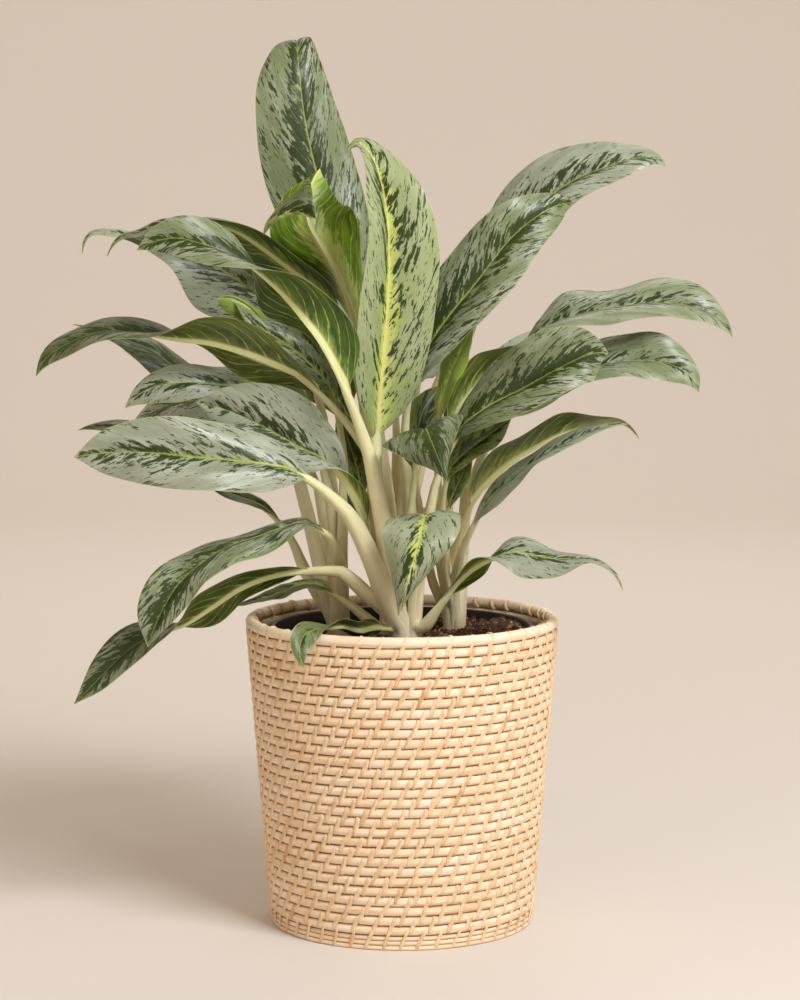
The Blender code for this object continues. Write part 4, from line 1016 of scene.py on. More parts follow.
@dataclass(frozen=True)
class MouldedPolypropylene(Finish):
    """Injection-moulded black polypropylene: a fine matt grain and a dull satin gloss."""

    name: str = "black_polypropylene"
    black: str = "#17181A"
    dusty: str = "#2B2A29"
    roughness: float = 0.45

    def paint(self, tree: Tree, shader: Sockets) -> None:
        """Adds the finish's nodes.

        Args:
            tree: The material's tree.
            shader: The input sockets of its Principled shader.
        """
        place = add(tree, COORDINATES, out="Object")
        grain = add(tree, NOISE, {"Vector": place, "Scale": 900.0, "Detail": 2})
        dust = add(tree, NOISE, {"Vector": place, "Scale": 30.0, "Detail": 3})
        dust = add(tree, RANGE, [dust, 0.5, 0.75])
        fill(tree, shader, {
            "Base Color": coats(tree, self.black, (self.dusty, dust)),
            "Normal": add(tree, BUMP, {"Strength": 0.2, "Distance": 0.2 * MM, "Height": grain}),
            "Roughness": self.roughness,
        })


@dataclass(frozen=True)
class PottingMix(Finish):
    """Moist peat and bark: dull, dark brown, each crumb in its own tint.

    The mesh gives shade, from 0 for the darkest crumb to 1.
    """

    name: str = "peat_and_bark"
    dark: str = "#35251A"
    middle: str = "#5E4430"
    light: str = "#9C7854"
    roughness: float = 0.9

    def paint(self, tree: Tree, shader: Sockets) -> None:
        """Adds the finish's nodes.

        Args:
            tree: The material's tree.
            shader: The input sockets of its Principled shader.
        """
        shade = add(tree, ATTRIBUTE, out="Fac", attribute_name="shade")
        place = add(tree, COORDINATES, out="Object")
        fine = add(tree, NOISE, {"Vector": place, "Scale": 700.0, "Detail": 3})
        tone = add(tree, MATH, [fine, 0.35, shade], operation="MULTIPLY_ADD")
        colour = add(tree, RAMP, [tone], stops=((0.2, self.dark), (0.75, self.middle), (1.0, self.light)))
        fill(tree, shader, {
            "Base Color": colour,
            "Normal": add(tree, BUMP, {"Strength": 0.6, "Distance": 0.8 * MM, "Height": fine}),
            "Roughness": self.roughness,
            "Specular IOR Level": 0.3,
        })


@dataclass(frozen=True)
class Perlite(Finish):
    """Expanded perlite: chalky off-white grains, stained by the wet peat."""

    name: str = "perlite"
    stain: str = "#A88F78"
    grey: str = "#E4DBCC"
    white: str = "#F4EFE6"
    roughness: float = 0.95

    def paint(self, tree: Tree, shader: Sockets) -> None:
        """Adds the finish's nodes.

        Args:
            tree: The material's tree.
            shader: The input sockets of its Principled shader.
        """
        place = add(tree, COORDINATES, out="Object")
        stain = add(tree, NOISE, {"Vector": place, "Scale": 300.0, "Detail": 2})
        colour = add(tree, RAMP, [stain], stops=((0.35, self.stain), (0.55, self.grey), (0.8, self.white)))
        fill(tree, shader, {"Base Color": colour, "Roughness": self.roughness})


@dataclass(frozen=True)
class StudioPaper(Finish):
    """Warm seamless background paper: plain and dull."""

    name: str = "background_paper"
    colour: str = "#D9D2CA"

    def paint(self, tree: Tree, shader: Sockets) -> None:
        """Adds the finish's nodes.

        Args:
            tree: The material's tree.
            shader: The input sockets of its Principled shader.
        """
        fill(tree, shader, {"Base Color": self.colour, "Roughness": 0.9, "Specular IOR Level": 0.1})


# The plant


@dataclass
class Blade:
    """One blade: an upper and a lower face, thin at the margin and with a rib under the midrib.

    columns are shares of the way from the midrib to a margin. Each of the ripples has its strength, its
    number of waves along the blade, how far the phase moves it, and how far it moves from side to side.
    rib_half is the rib's half width at the tip and what the foot adds to it, in mm.
    """

    leaf: Leaf
    phase: float
    rows: int = 48
    columns: tuple = (0.035, 0.08, 0.14, 0.22, 0.33, 0.46, 0.6, 0.74, 0.87, 0.96, 1.0)
    thickness: float = 0.7 * MM
    margin_thickness: float = 0.3 * MM
    rib_depth: float = 3.4 * MM
    rib_thinnest: float = 0.5 * MM
    rib_half: tuple = (1.2, 3.0)
    bow: float = 0.09
    ripple: float = 1.5 * MM
    ripples: tuple = ((1.0, 2.1, 1.0, 0.2), (0.3, 5.3, 2.7, 0.35))
    channel: float = 0.7 * MM
    channel_half: float = 2.2 * MM
    foot_share: float = 0.04
    foot_fill: float = 0.85
    tip_half: float = 0.3 * MM

    def __post_init__(self) -> None:
        """Lays out the blade's midrib and margins."""
        leaf = self.leaf
        self.stations = np.linspace(0, 1, self.rows + 1)
        picture = at_shares(through(leaf.spine), self.stations)
        run = tangents(picture[:, :2])
        aside = np.stack([-run[:, 1], run[:, 0]], 1)
        if leaf.side is not None:
            aside[:] = leaf.side
        self.half = leaf.width / 2 * blade_outline(self.stations)
        self.middle = sight(picture)
        self.left = self.margin(picture, aside, leaf.left, leaf.lean[0])
        self.right = self.margin(picture, -aside, leaf.right, leaf.lean[1])
        self.ahead = tangents(self.middle)
        across = self.right - self.left
        across[0] = across[1]
        across[-1] = across[-2]
        across = unit(across - (across * self.ahead).sum(1)[:, None] * self.ahead)
        self.up = np.cross(across, self.ahead)
        foot = np.clip(1 - self.stations / self.foot_share, 0, 1)[:, None]
        for edge, sign in ((self.left, -1), (self.right, 1)):
            on_stalk = self.middle + across * sign * leaf.stalk[1] * self.foot_fill * MM
            edge[:] = edge * (1 - foot) + on_stalk * foot
            edge[-1] = self.middle[-1] + across[-1] * sign * self.tip_half

    def margin(self, picture: Array, aside: Array, given: tuple | None, lean: float) -> Array:
        """Finds one margin.

        Args:
            picture: The midrib's points on the picture plane.
            aside: The directions towards this margin on it.
            given: How far aside the margin is seen, at WIDTH_SHARES, or None to follow the width.
            lean: How much of its depth is towards the front.

        Returns:
            The margin's points in metres.
        """
        half = self.leaf.width / 2 * blade_outline(WIDTH_SHARES)
        if given is None:
            shown = 0.5 if self.leaf.side is None else 1
            offsets = self.half * shown
            given = half * shown
        else:
            offsets = smooth_values(given, self.stations)
        depth = smooth_values(lean * np.sqrt(np.maximum(half**2 - np.array(given)**2, 0)), self.stations)
        return sight(np.column_stack([picture[:, :2] + aside * offsets[:, None], picture[:, 2] + depth]))

    def build(self) -> Object:
        """Builds the blade's mesh with its attributes.

        Returns:
            The blade.
        """
        across = (*(-c for c in reversed(self.columns)), 0.0, *self.columns)
        rows, count = self.rows + 1, len(across)
        top = np.zeros((rows, count, 3))
        away = np.zeros((rows, count))
        swell = self.half / self.half.max()
        for k, u in enumerate(across):
            share = abs(u)
            edge = self.left if u < 0 else self.right
            bow = self.bow * self.half * MM * (share - share**2) * 4
            wave = sum(
                strength * np.sin(FULL_TURN * (waves * self.stations + shift * self.phase + lead * u))
                for strength, waves, shift, lead in self.ripples
            )
            away[:, k] = np.linalg.norm(edge - self.middle, axis=1) * share
            dip = self.channel * np.exp(-(away[:, k] / self.channel_half)**2) * np.sqrt(swell)
            lift = bow + self.ripple * share**2 * wave * swell - dip
            top[:, k] = self.middle + (edge - self.middle) * share + self.up * lift[:, None]
        normals = unit(np.cross(np.gradient(top, axis=1), np.gradient(top, axis=0)))
        normals *= np.sign((normals * self.up[:, None, :]).sum(2))[:, :, None]
        at_tip, more_at_foot = self.rib_half
        rib_half = (at_tip + more_at_foot * (1 - self.stations)) * MM
        rib = (self.rib_thinnest + self.rib_depth * (1 - self.stations)**1.5)[:, None]
        rib = rib * np.exp(-(away / rib_half[:, None])**2) * np.sqrt(swell)[:, None]
        across = np.array(across)[None, :]
        edge_share = np.abs(across)**3
        thick = self.thickness * (1 - edge_share) + self.margin_thickness * edge_share
        under = top - normals * thick[:, :, None] - self.up[:, None, :] * rib[:, :, None]

        size = rows * count
        at = np.arange(size).reshape(rows, count).tolist()
        faces = []
        for r in range(rows - 1):
            for c in range(count - 1):
                a, b, d, e = at[r][c], at[r][c + 1], at[r + 1][c + 1], at[r + 1][c]
                faces += [(a, b, d, e), (e + size, d + size, b + size, a + size)]
        border = at[0] + [row[-1] for row in at[1:]] + at[-1][-2::-1] + [row[0] for row in at[-2:0:-1]]
        faces += [(q, p, p + size, q + size) for p, q in zip(border, border[1:] + border[:1])]
        made = new_mesh(f"{self.leaf.name}_leaf", np.concatenate([top, under]).reshape(-1, 3), faces, 50)

        along = lengths_along(self.middle) / MM
        aside = away * np.sign(across) / MM
        widest = np.where(across < 0, away[:, :1], away[:, -1:]) / MM
        growth = np.stack([np.broadcast_to(along[:, None], away.shape), aside, widest], 2).reshape(-1, 3)
        store(made, "growth", np.tile(growth, (2, 1)))
        kind = np.zeros((2 * size, 3))
        kind[:size, 0] = 1
        kind[:, 1] = self.phase
        kind[:, 2] = np.tile(np.repeat(self.stations, count), 2)
        store(made, "kind", kind)
        store(made, "tone", np.tile(self.leaf.growth.value, (2 * size, 1)))
        return made


@dataclass
class Stalk:
    """One petiole: a round, tapered stalk with a shallow groove, which ends as the midrib of its blade.

    ring is how far from the crown's middle it stands, and reach how far its own side may be from there. It
    slims from slim_from on, and runs on under the blade as a rib for rib_rows rows. rib holds the rib's
    radius at the tip and what the foot adds (mm), and merge is the share of the blade over which the stalk
    becomes the rib. The bend between them is eased over eased_steps steps of the stalk and eased_rows rows
    of the blade.
    """

    blade: Blade
    crown: tuple[float, float]
    ring: float = 7 * MM
    reach: float = 17 * MM
    sink: float = 4 * MM
    rise: float = 21 * MM
    flare: float = 2 * MM
    lead_in: float = 10 * MM
    steps: int = 30
    sides: int = 18
    taper: float = 1.3
    slimming: float = 0.3
    slim_from: float = 0.55
    slim_over: float = 0.45
    rib_rows: int = 12
    rib: tuple = (0.35, 1.3)
    merge: float = 0.05
    groove_depth: float = 0.24
    easing: int = 60
    eased_steps: int = 7
    eased_rows: int = 5

    def __post_init__(self) -> None:
        """Lays the stalk's route, which bends the blade's foot with it."""
        leaf, blade = self.blade.leaf, self.blade
        x, y = (v * MM for v in self.crown)
        foot_radius, end_radius = (r * MM for r in leaf.stalk)
        ahead, up = blade.ahead[0], blade.up[0]
        end = blade.middle[0] - up * blade.rib_depth / 2
        inner = end - ahead * self.lead_in
        via = list(sight(leaf.via)) if leaf.via else []
        outward = unit(((via + [inner])[0] - (x, y, 0)) * (1, 1, 0))
        foot = np.array((x, y, SOIL_TOP - self.sink)) + outward * min(self.ring, self.reach - foot_radius)
        rise = foot + np.array((0, 0, self.rise)) + outward * self.flare
        shares = np.linspace(0, 1, self.steps + 1)
        route = at_shares(through([foot, rise, *via, inner, end]), shares)
        taper = shares**self.taper
        radii = foot_radius * (1 - taper) + end_radius * taper
        slim = np.clip((shares - self.slim_from) / self.slim_over, 0, 1)
        radii = radii * (1 - self.slimming * slim**2 * (3 - 2 * slim))
        end_radius = radii[-1]
        # The stalk runs on into the blade as its midrib.
        rows = slice(1, 1 + self.rib_rows)
        length = blade.stations[rows]
        inside = np.exp(-length / self.merge)
        at_tip, more_at_foot = self.rib
        rib = end_radius * inside + (at_tip + more_at_foot * (1 - length)) * MM * (1 - inside)
        depth = blade.rib_depth / 2 * inside + (rib + blade.channel) * (1 - inside)
        route = np.concatenate([route, blade.middle[rows] - blade.up[rows] * depth[:, None]])
        self.radii = np.concatenate([radii, rib])
        # The bend between stalk and blade is eased.
        first, last = self.steps - self.eased_steps, self.steps + self.eased_rows
        straight = route.copy()
        for _ in range(self.easing):
            route[first:last] = (route[first - 1:last - 1] + 2 * route[first:last]
                                 + route[first + 1:last + 1]) / 4
        moved = (route - straight)[self.steps:last]
        for line in (blade.middle, blade.left, blade.right):
            line[:len(moved)] += moved
        self.route = route

    def build(self) -> tuple[Array, list, Array]:
        """Builds the stalk.

        Returns:
            Its points, faces and growth attribute.
        """
        route, radii = self.route, self.radii
        leads = tangents(route)
        count = len(route)
        normals = [self.blade.up[0]]
        for k in range(count - 1, -1, -1):
            normals.append(unit(normals[-1] - leads[k] * (normals[-1] @ leads[k])))
        normals = normals[:0:-1]
        angles = FULL_TURN * np.arange(self.sides) / self.sides
        turned = np.minimum(angles, FULL_TURN - angles)
        groove = np.exp(-(turned / 0.5)**2) - 0.35 * np.exp(-((turned - 1.0) / 0.35)**2)
        points, growth = [], []
        along = lengths_along(route)
        for k in range(count):
            share = min(1.0, k / self.steps)
            side = np.cross(leads[k], normals[k])
            shape = radii[k] * (1 - self.groove_depth * groove * (1 - 0.6 * share))
            ring = np.cos(angles)[:, None] * normals[k] + np.sin(angles)[:, None] * side
            points.append(route[k] + ring * shape[:, None])
            growth.append(np.column_stack([
                np.full(self.sides, along[k] / MM), np.cos(angles) + 2 * np.sin(angles),
                np.full(self.sides, share),
            ]))
        faces = tube_ends(count, self.sides) + tube_faces(count, self.sides)
        return np.concatenate(points), faces, np.concatenate(growth)


@dataclass
class Shoot:
    """A crown in the soil with the stalks that grow from it, as one piece."""

    name: str
    crown: tuple[float, float]
    radius: float = 17 * MM
    scar: float = 0.8 * MM
    depth: float = 12 * MM
    rise: float = 5 * MM
    levels: int = 14
    sides: int = 32

    def crown_mesh(self) -> tuple[Array, list, Array]:
        """Builds the crown, ringed with the scars of old leaves.

        Returns:
            Its points, faces and growth attribute.
        """
        points = []
        angles = FULL_TURN * np.arange(self.sides) / self.sides
        for k, level in enumerate(np.linspace(-self.depth, self.rise, self.levels)):
            share = max(0.0, level / self.rise)
            radius = self.radius * (1 - 0.4 * share**2) + (self.scar if k % 3 == 1 else 0)
            radius = radius * (1 + 0.04 * np.sin(3 * angles + level * 300))
            points.append(np.column_stack([
                self.crown[0] * MM + radius * np.cos(angles), self.crown[1] * MM + radius * np.sin(angles),
                np.full(self.sides, SOIL_TOP + level),
            ]))
        faces = tube_faces(self.levels, self.sides) + tube_ends(self.levels, self.sides)
        points = np.concatenate(points)
        around = np.tile(np.sin(angles), self.levels)
        growth = np.column_stack([points[:, 2] / MM, around, np.zeros(len(points))])
        return points, faces, growth

    def build(self, stalks: Sequence[Stalk]) -> Object:
        """Builds the shoot.

        Args:
            stalks: The stalks that grow from its crown.

        Returns:
            The shoot.
        """
        points, faces, growth = [], [], []
        count = 0
        parts = [self.crown_mesh(), *(stalk.build() for stalk in stalks)]
        for part_points, part_faces, part_growth in parts:
            points.append(part_points)
            faces += [tuple(i + count for i in face) for face in part_faces]
            growth.append(part_growth)
            count += len(part_points)
        made = new_mesh(f"{self.name}_stalks", np.concatenate(points), faces, 70)
        store(made, "growth", np.concatenate(growth))
        return made


@dataclass
class Plant:
    """The whole clump. phase_step sets each blade's ripple and blotches apart from the last one's."""

    blade_finish: Finish = VariegatedBlade()
    stalk_finish: Finish = Petiole()
    phase_step: float = 0.37

    def build(self) -> None:
        """Builds and dresses every blade and every shoot."""
        stalks = {name: [] for name in SHOOTS}
        for index, leaf in enumerate(LEAVES):
            blade = Blade(leaf, self.phase_step * index % 1)
            stalks[leaf.shoot].append(Stalk(blade, SHOOTS[leaf.shoot]))
            finish_piece(blade.build(), self.blade_finish.build(), [f"blade_{leaf.name}"])
        for leaf, node in FOLDS:
            made = Blade(leaf, phase=0.3, rib_depth=0.5 * MM, ripple=0.5 * MM).build()
            finish_piece(made, self.blade_finish.build(), [node])
        for name, crown in SHOOTS.items():
            made = Shoot(name, crown).build(stalks[name])
            finish_piece(made, self.stalk_finish.build(), [f"shoot_{name}"])


# The basket


@dataclass
class CoiledBasket:
    """A basket of coiled rattan canes lashed to each other, with a thicker rim and a band round its foot.

    lash_spacing, rim_spacing and foot_spacing lie between lashings round the drum, the rim and the foot.
    Each row of lashings starts lash_step after the row above, so that they climb in slanted lines. No two
    lie alike: stray is how far they stray along the row and upwards, slant_spread how far their slant (in
    degrees) and size_spread how far their width, length and thickness. packing widens the drum's canes, so
    that they press into each other.
    """

    top_radius: float = 156 * MM
    foot_radius: float = 131.5 * MM
    height: float = 307 * MM
    rows: int = 29
    band_height: float = 14 * MM
    rim_cane: float = 5.3 * MM
    lash_spacing: float = 19.0 * MM
    rim_spacing: float = 22.0 * MM
    foot_spacing: float = 17.0 * MM
    lash_step: float = 7.8 * MM
    lash_width: float = 5.0 * MM
    lash_slant: float = 21.0
    lash_dip: float = 0.5 * MM
    rim_clearance: float = 0.7 * MM
    stray: tuple = (0.9 * MM, 0.25 * MM)
    slant_spread: float = 3.5
    size_spread: tuple = (0.09, 0.03, 0.08)
    stained_share: float = 0.015
    packing: float = 1.03
    inner_rows: int = 4
    finish: Finish = PeeledRattan()
    # The rim's paler finish is partly the rim cane's own paler colour and partly painted light, which
    # brightens the rim where the foliage shades it.
    rim_finish_and_painted_light: Finish = PeeledRattan("rattan_rim", "#FCEEDA", "#F4DFC2", "#E2C296")
    # The lashings' fourth colour is painted shade for where they dive into the grooves.
    lash_finish: Finish = PeeledRattan("rattan_lashing", "#F3DDBC", "#E5C49A", "#CC9E6C", "#8F6236")

    def __post_init__(self) -> None:
        """Works out the rows."""
        self.low = self.band_height + 0.5 * MM
        self.high = self.height - 2 * self.rim_cane
        self.pitch = (self.high - self.low) / self.rows

    def radius(self, z: float) -> float:
        """The basket's outer radius at a height."""
        return self.foot_radius + (self.top_radius - self.foot_radius) * z / self.height

    def cane_tree(self) -> Tree:
        """Builds the tree that turns rows of points into rings of cane.

        Returns:
            A tree whose base points carry the ring's radius, the cane's radius and its number as "ring".
        """
        tree, given, result = geometry_tree("rings_of_cane", {
            "Steps": "Int", "Sides": "Int", "Wobble": "Float", "Squareness": "Float", "Openness": "Float",
            "Material": "Material",
        })
        ring, cane, number = add(tree, SEPARATE, [add(tree, READ, {"Name": "ring"}, **VECTOR)]).node.outputs
        circle = add(tree, CIRCLE, {"Resolution": given["Steps"], "Radius": 1.0})
        scale = add(tree, COMBINE, [ring, ring, 1.0])
        rings = add(tree, INSTANCES, {"Points": given["Geometry"], "Instance": circle, "Scale": scale})
        for name, value in (("thick", cane), ("number", number)):
            rings = add(tree, STORE, {"Geometry": rings, "Name": name, "Value": value}, **NUMBER_EACH)
        rings = add(tree, REALIZE, [rings])
        sway = add(tree, NOISE, {"Vector": add(tree, PLACE), "Scale": 14.0, "Detail": 2}, "Color")
        sway = add(tree, VECTOR_MATH, [sway, (0.5, 0.5, 0.5)], operation="SUBTRACT")
        sway = add(tree, VECTOR_MATH, {0: sway, "Scale": given["Wobble"]}, operation="SCALE")
        rings = add(tree, MOVE, {"Geometry": rings, "Offset": sway})
        length = add(tree, "GeometryNodeSplineParameter", out="Length")
        number, thick = (add(tree, READ, {"Name": name}, data_type="FLOAT") for name in ("number", "thick"))
        lay = add(tree, COMBINE, [length, 0.0, number])
        rings = add(tree, STORE, {"Geometry": rings, "Name": "lay", "Value": lay}, **AT_POINT)
        section = add(tree, CIRCLE, {"Resolution": given["Sides"], "Radius": 1.0})
        around = add(tree, PLACE)
        # A cane that is packed between two others is squarer than a circle.
        bulge = add(tree, SEPARATE, [add(tree, VECTOR_MATH, [around], operation="ABSOLUTE")]).node.outputs
        reach, rise = (add(tree, MATH, [bulge[k], given["Squareness"]], operation="POWER") for k in (0, 1))
        reach = add(tree, MATH, [reach, rise], operation="ADD")
        root = add(tree, MATH, [-1.0, given["Squareness"]], operation="DIVIDE")
        reach = add(tree, MATH, [reach, root], operation="POWER")
        around = add(tree, VECTOR_MATH, {0: around, "Scale": reach}, operation="SCALE")
        section = add(tree, MOVE, {"Geometry": section, "Position": around})
        section = add(tree, STORE, {
            "Geometry": section, "Name": "section", "Value": add(tree, PLACE),
        }, **AT_POINT)
        canes = add(tree, "GeometryNodeCurveToMesh", {
            "Curve": rings, "Profile Curve": section, "Scale": thick,
        })
        lay, across = (add(tree, SEPARATE, [add(tree, READ, {"Name": name}, **VECTOR)]).node.outputs
                       for name in ("lay", "section"))
        # How far each point stands out of the groove between two canes, which sets the painted shade of the
        # groove
        level = add(tree, MATH, [across[1]], operation="ABSOLUTE")
        level = add(tree, MATH, [1.0, level], operation="SUBTRACT")
        level = add(tree, MATH, [level, 2.2], operation="MULTIPLY")
        level = add(tree, MATH, [level, given["Openness"]], operation="MAXIMUM")
        grain = add(tree, COMBINE, [lay[0], level, lay[2]])
        canes = add(tree, STORE, {"Geometry": canes, "Name": "grain", "Value": grain}, **AT_POINT)
        canes = add(tree, "GeometryNodeSetShadeSmooth", {"Geometry": canes, "Shade Smooth": True})
        canes = add(tree, REALIZE, [canes])
        canes = add(tree, SET_MATERIAL, {"Geometry": canes, "Material": given["Material"]})
        tree.links.new(canes, result)
        return tree

    def rings(self, name: str, tree: Tree, rings: Sequence[tuple], nodes: Sequence[str], steps: int = 120,
              sides: int = 12, wobble: float = 1.2 * MM, squareness: float = 2.0,
              openness: float = 0.0, finish: Finish | None = None) -> Object:
        """Builds rings of cane as one piece.

        Args:
            name: The piece's name.
            tree: The tree that builds rings.
            rings: For each ring its height, its radius, the cane's radius and a number for its tint.
            nodes: The CAD nodes that the piece replaces.
            steps: Points round a ring.
            sides: Points round the cane.
            wobble: How far the cane strays.
            squareness: 2 for a round cane, more for one that is flattened by its neighbours.
            openness: 0 where the cane gets painted shade towards its neighbours, 1 where it lies free and
                gets none.
            finish: Its finish, if it isn't that of the coils.

        Returns:
            The piece.
        """
        made = new_mesh(name, [(0, 0, z) for z, *_ in rings], [])
        store(made, "ring", [values for _, *values in rings])
        grow(made, tree, {"Steps": steps, "Sides": sides, "Wobble": wobble, "Squareness": squareness,
                          "Openness": openness, "Material": (finish or self.finish).build()})
        return finish_piece(made, None, nodes)

    def strap(self, path: Sequence[tuple], name: str, width: float = 1.0, sunk: float = 0.75) -> Object:
        """Builds the shape of one lashing: a flat strip with rounded edges that follows a path.

        Args:
            path: (height, outward) points in metres.
            name: The object's name.
            width: Its width as a share of a lashing's.
            sunk: How much painted shade darkens its inner end, as shade falls on one in a groove.

        Returns:
            The strip, with grain for its finish.
        """
        route = np.array(path, float)
        leads = tangents(route)
        half = self.lash_width / 2 * width
        section = [(half * share, lift * MM)
                   for share, lift in ((-1, -0.4), (-0.75, 0.5), (0, 0.8), (0.75, 0.5), (1, -0.4))]
        tallest = np.abs(route[:, 0]).max()
        points, grain = [], []
        along = lengths_along(route)
        ends = min(0.0, route[:, 1].min())
        for k, (up, out) in enumerate(route):
            pinch = 1 - 0.3 * (up / tallest)**2
            for x, lift in section:
                points.append((x * pinch, up - leads[k][1] * lift, out + leads[k][0] * lift))
                # Ends of the strip are deep in the grooves, and get painted shade there.
                deep = 1 - sunk * (out / ends if ends else 0)
                grain.append((along[k], min(1.0, max(0.3, deep)), x * 40))
        size = len(route), len(section)
        made = new_mesh(name, points, tube_faces(*size) + tube_ends(*size), 50)
        store(made, "grain", grain)
        return made

    def lashing_tree(self) -> Tree:
        """Builds the tree that sets a lashing on every base point.

        Returns:
            A tree whose base points carry the turn, the size and the tint of each lashing.
        """
        tree, given, result = geometry_tree("lashings", {"Lashing": "Object", "Material": "Material"})
        turn, size, tint, grain, lot = (add(tree, READ, {"Name": name}, **VECTOR)
                                        for name in ("turn", "size", "tint", "grain", "lot"))
        shape = add(tree, "GeometryNodeObjectInfo", {"Object": given["Lashing"]}, "Geometry")
        laid = add(tree, INSTANCES, {
            "Points": given["Geometry"], "Instance": shape, "Rotation": add(tree, TO_ROTATION, [turn]),
            "Scale": size,
        })
        laid = add(tree, STORE, {"Geometry": laid, "Name": "lot", "Value": tint}, **VECTOR_EACH)
        laid = add(tree, REALIZE, [laid])
        grain = add(tree, VECTOR_MATH, [grain, lot], operation="ADD")
        laid = add(tree, STORE, {"Geometry": laid, "Name": "grain", "Value": grain}, **AT_POINT)
        laid = add(tree, SET_MATERIAL, {"Geometry": laid, "Material": given["Material"]})
        tree.links.new(laid, result)
        return tree

    def lash(self, name: str, tree: Tree, strap: Object, rows: Sequence[tuple], nodes: Sequence[str],
             inward: bool = False) -> Object:
        """Lashes rows of canes together.

        Args:
            name: The piece's name.
            tree: The tree that sets the lashings.
            strap: The shape of one lashing.
            rows: For each row its height, its radius, how many lashings it has and the angle of the first.
            nodes: The CAD nodes that the piece replaces.
            inward: True for lashings on the inside of the basket.

        Returns:
            The piece.
        """
        lots = np.random.default_rng(SEED + len(rows))
        points, values = [], {"turn": [], "size": [], "tint": []}
        taper = (self.top_radius - self.foot_radius) / self.height
        facing = -1 if inward else 1
        for z, radius, count, first in rows:
            for k in range(count):
                angle = first + FULL_TURN * k / count + lots.normal(0, self.stray[0]) / radius
                outward = Vector((math.cos(angle), math.sin(angle), 0))
                up = (Vector((0, 0, 1)) + outward * taper).normalized()
                right = up.cross(outward).normalized() * facing
                turn = Matrix((right, up, right.cross(up))).transposed()
                slant = -math.radians(self.lash_slant + lots.normal(0, self.slant_spread))
                turn = turn @ Matrix.Rotation(slant, 3, "Z")
                points.append(outward * radius + Vector((0, 0, z + lots.normal(0, self.stray[1]))))
                values["turn"].append(turn.to_euler())
                values["size"].append([1 + lots.normal(0, spread) for spread in self.size_spread])
                stain = 2 * STAINED if lots.uniform() < self.stained_share else 0
                values["tint"].append((lots.uniform(0, 3), 0, lots.uniform(0, 40) + stain))
        made = new_mesh(name, points, [])
        for label, rows_of_three in values.items():
            store(made, label, rows_of_three)
        grow(made, tree, {"Lashing": strap, "Material": self.lash_finish.build()})
        return finish_piece(made, None, nodes)

    def build(self) -> None:
        """Builds and dresses the basket."""
        cane = self.cane_tree()
        lots = np.random.default_rng(SEED)
        radius = self.pitch / 2 * self.packing
        rows = []
        for k in range(self.rows):
            z = self.low + (k + 0.5) * self.pitch
            rows.append((z, self.radius(z) - radius, radius * lots.uniform(0.97, 1.02), 3.1 * k))
        self.rings("coiled_canes", cane, rows, ["basket_drum"], squareness=2.7)
        floor = [(4.6 * MM, r * MM, 4.4 * MM, 0.7 * r) for r in range(5, 128, 9)]
        self.rings("floor_canes", cane, floor, ["basket_drum"], steps=64, sides=8, wobble=0.5 * MM)
        rim = (self.height - self.rim_cane, self.top_radius - self.rim_cane, self.rim_cane, 7.0)
        self.rings("rim_cane", cane, [rim], ["basket_rim_cane"], steps=160, sides=16, wobble=0.6 * MM,
                   openness=1.0, finish=self.rim_finish_and_painted_light)
        strips = [((2.4 + 4.7 * k) * MM, self.foot_radius - 2.5 * MM, 2.4 * MM, 11.0 + 5 * k)
                  for k in range(3)]
        self.rings("foot_strips", cane, strips, ["basket_foot_band"], wobble=0.4 * MM, squareness=3.0)

        # A lashing runs over the crowns of two canes, dips between them and dives into the grooves.
        lashing = self.lashing_tree()
        crown = self.pitch * 0.5
        path = []
        for k in range(-6, 7):
            up = k / 6 * self.pitch * 0.96
            over = max(0.0, abs(up) - crown)
            out = radius * ((1 - min(1.0, over / radius)**3)**(1 / 3) - 1)
            dip = self.lash_dip * math.cos(math.pi * up / self.pitch)**2 if abs(up) < crown else 0
            path.append((up, max(out, -crown) - dip))
        strap = self.strap(path, "lashing_shape")
        # One on the rim starts in the same way and then goes round the thick cane.
        over_rim = [(up, out) for up, out in path if up <= crown * 0.9]
        reach = self.rim_cane + self.rim_clearance
        for degrees in range(25, 236, 30):
            turn = math.radians(degrees)
            over_rim.append((crown + reach * math.sin(turn), -reach + reach * math.cos(turn)))
        rim_strap = self.strap(over_rim, "rim_lashing_shape", width=0.9, sunk=0.2)
        # One on the foot goes round the flat band, in mm.
        flat = ((-6.2, -2.5), (-5.6, -0.4), (-4.4, 0), (0, 0), (4.4, 0), (7.2, 0.6), (10.5, 0.8),
                (13.5, -0.4), (15.5, -3))
        flat = [(up * MM, out * MM) for up, out in flat]
        foot_strap = self.strap(flat, "foot_lashing_shape", width=0.75)

        front = -math.pi / 2
        outer = []
        for k in range(1, self.rows):
            z = self.low + k * self.pitch
            reach = self.radius(z)
            count = round(FULL_TURN * reach / self.lash_spacing)
            outer.append((z, reach, count, front - (self.rows - k) * self.lash_step / reach))
        self.lash("lashings", lashing, strap, outer, ["basket_drum"])
        inner = [(z, reach - 2 * radius, count, first)
                 for z, reach, count, first in outer[-self.inner_rows:]]
        self.lash("inner_lashings", lashing, strap, inner, ["basket_drum"], inward=True)
        reach = self.radius(self.high)
        rim_row = (self.high, reach, round(FULL_TURN * reach / self.rim_spacing), front)
        self.lash("rim_lashings", lashing, rim_strap, [rim_row], ["basket_rim_cane"])
        foot_row = (self.band_height * 0.55, self.foot_radius + 0.4 * MM,
                    round(FULL_TURN * self.foot_radius / self.foot_spacing), front)
        self.lash("foot_lashings", lashing, foot_strap, [foot_row], ["basket_foot_band"])
        for shape in (strap, rim_strap, foot_strap):
            bpy.data.objects.remove(shape)


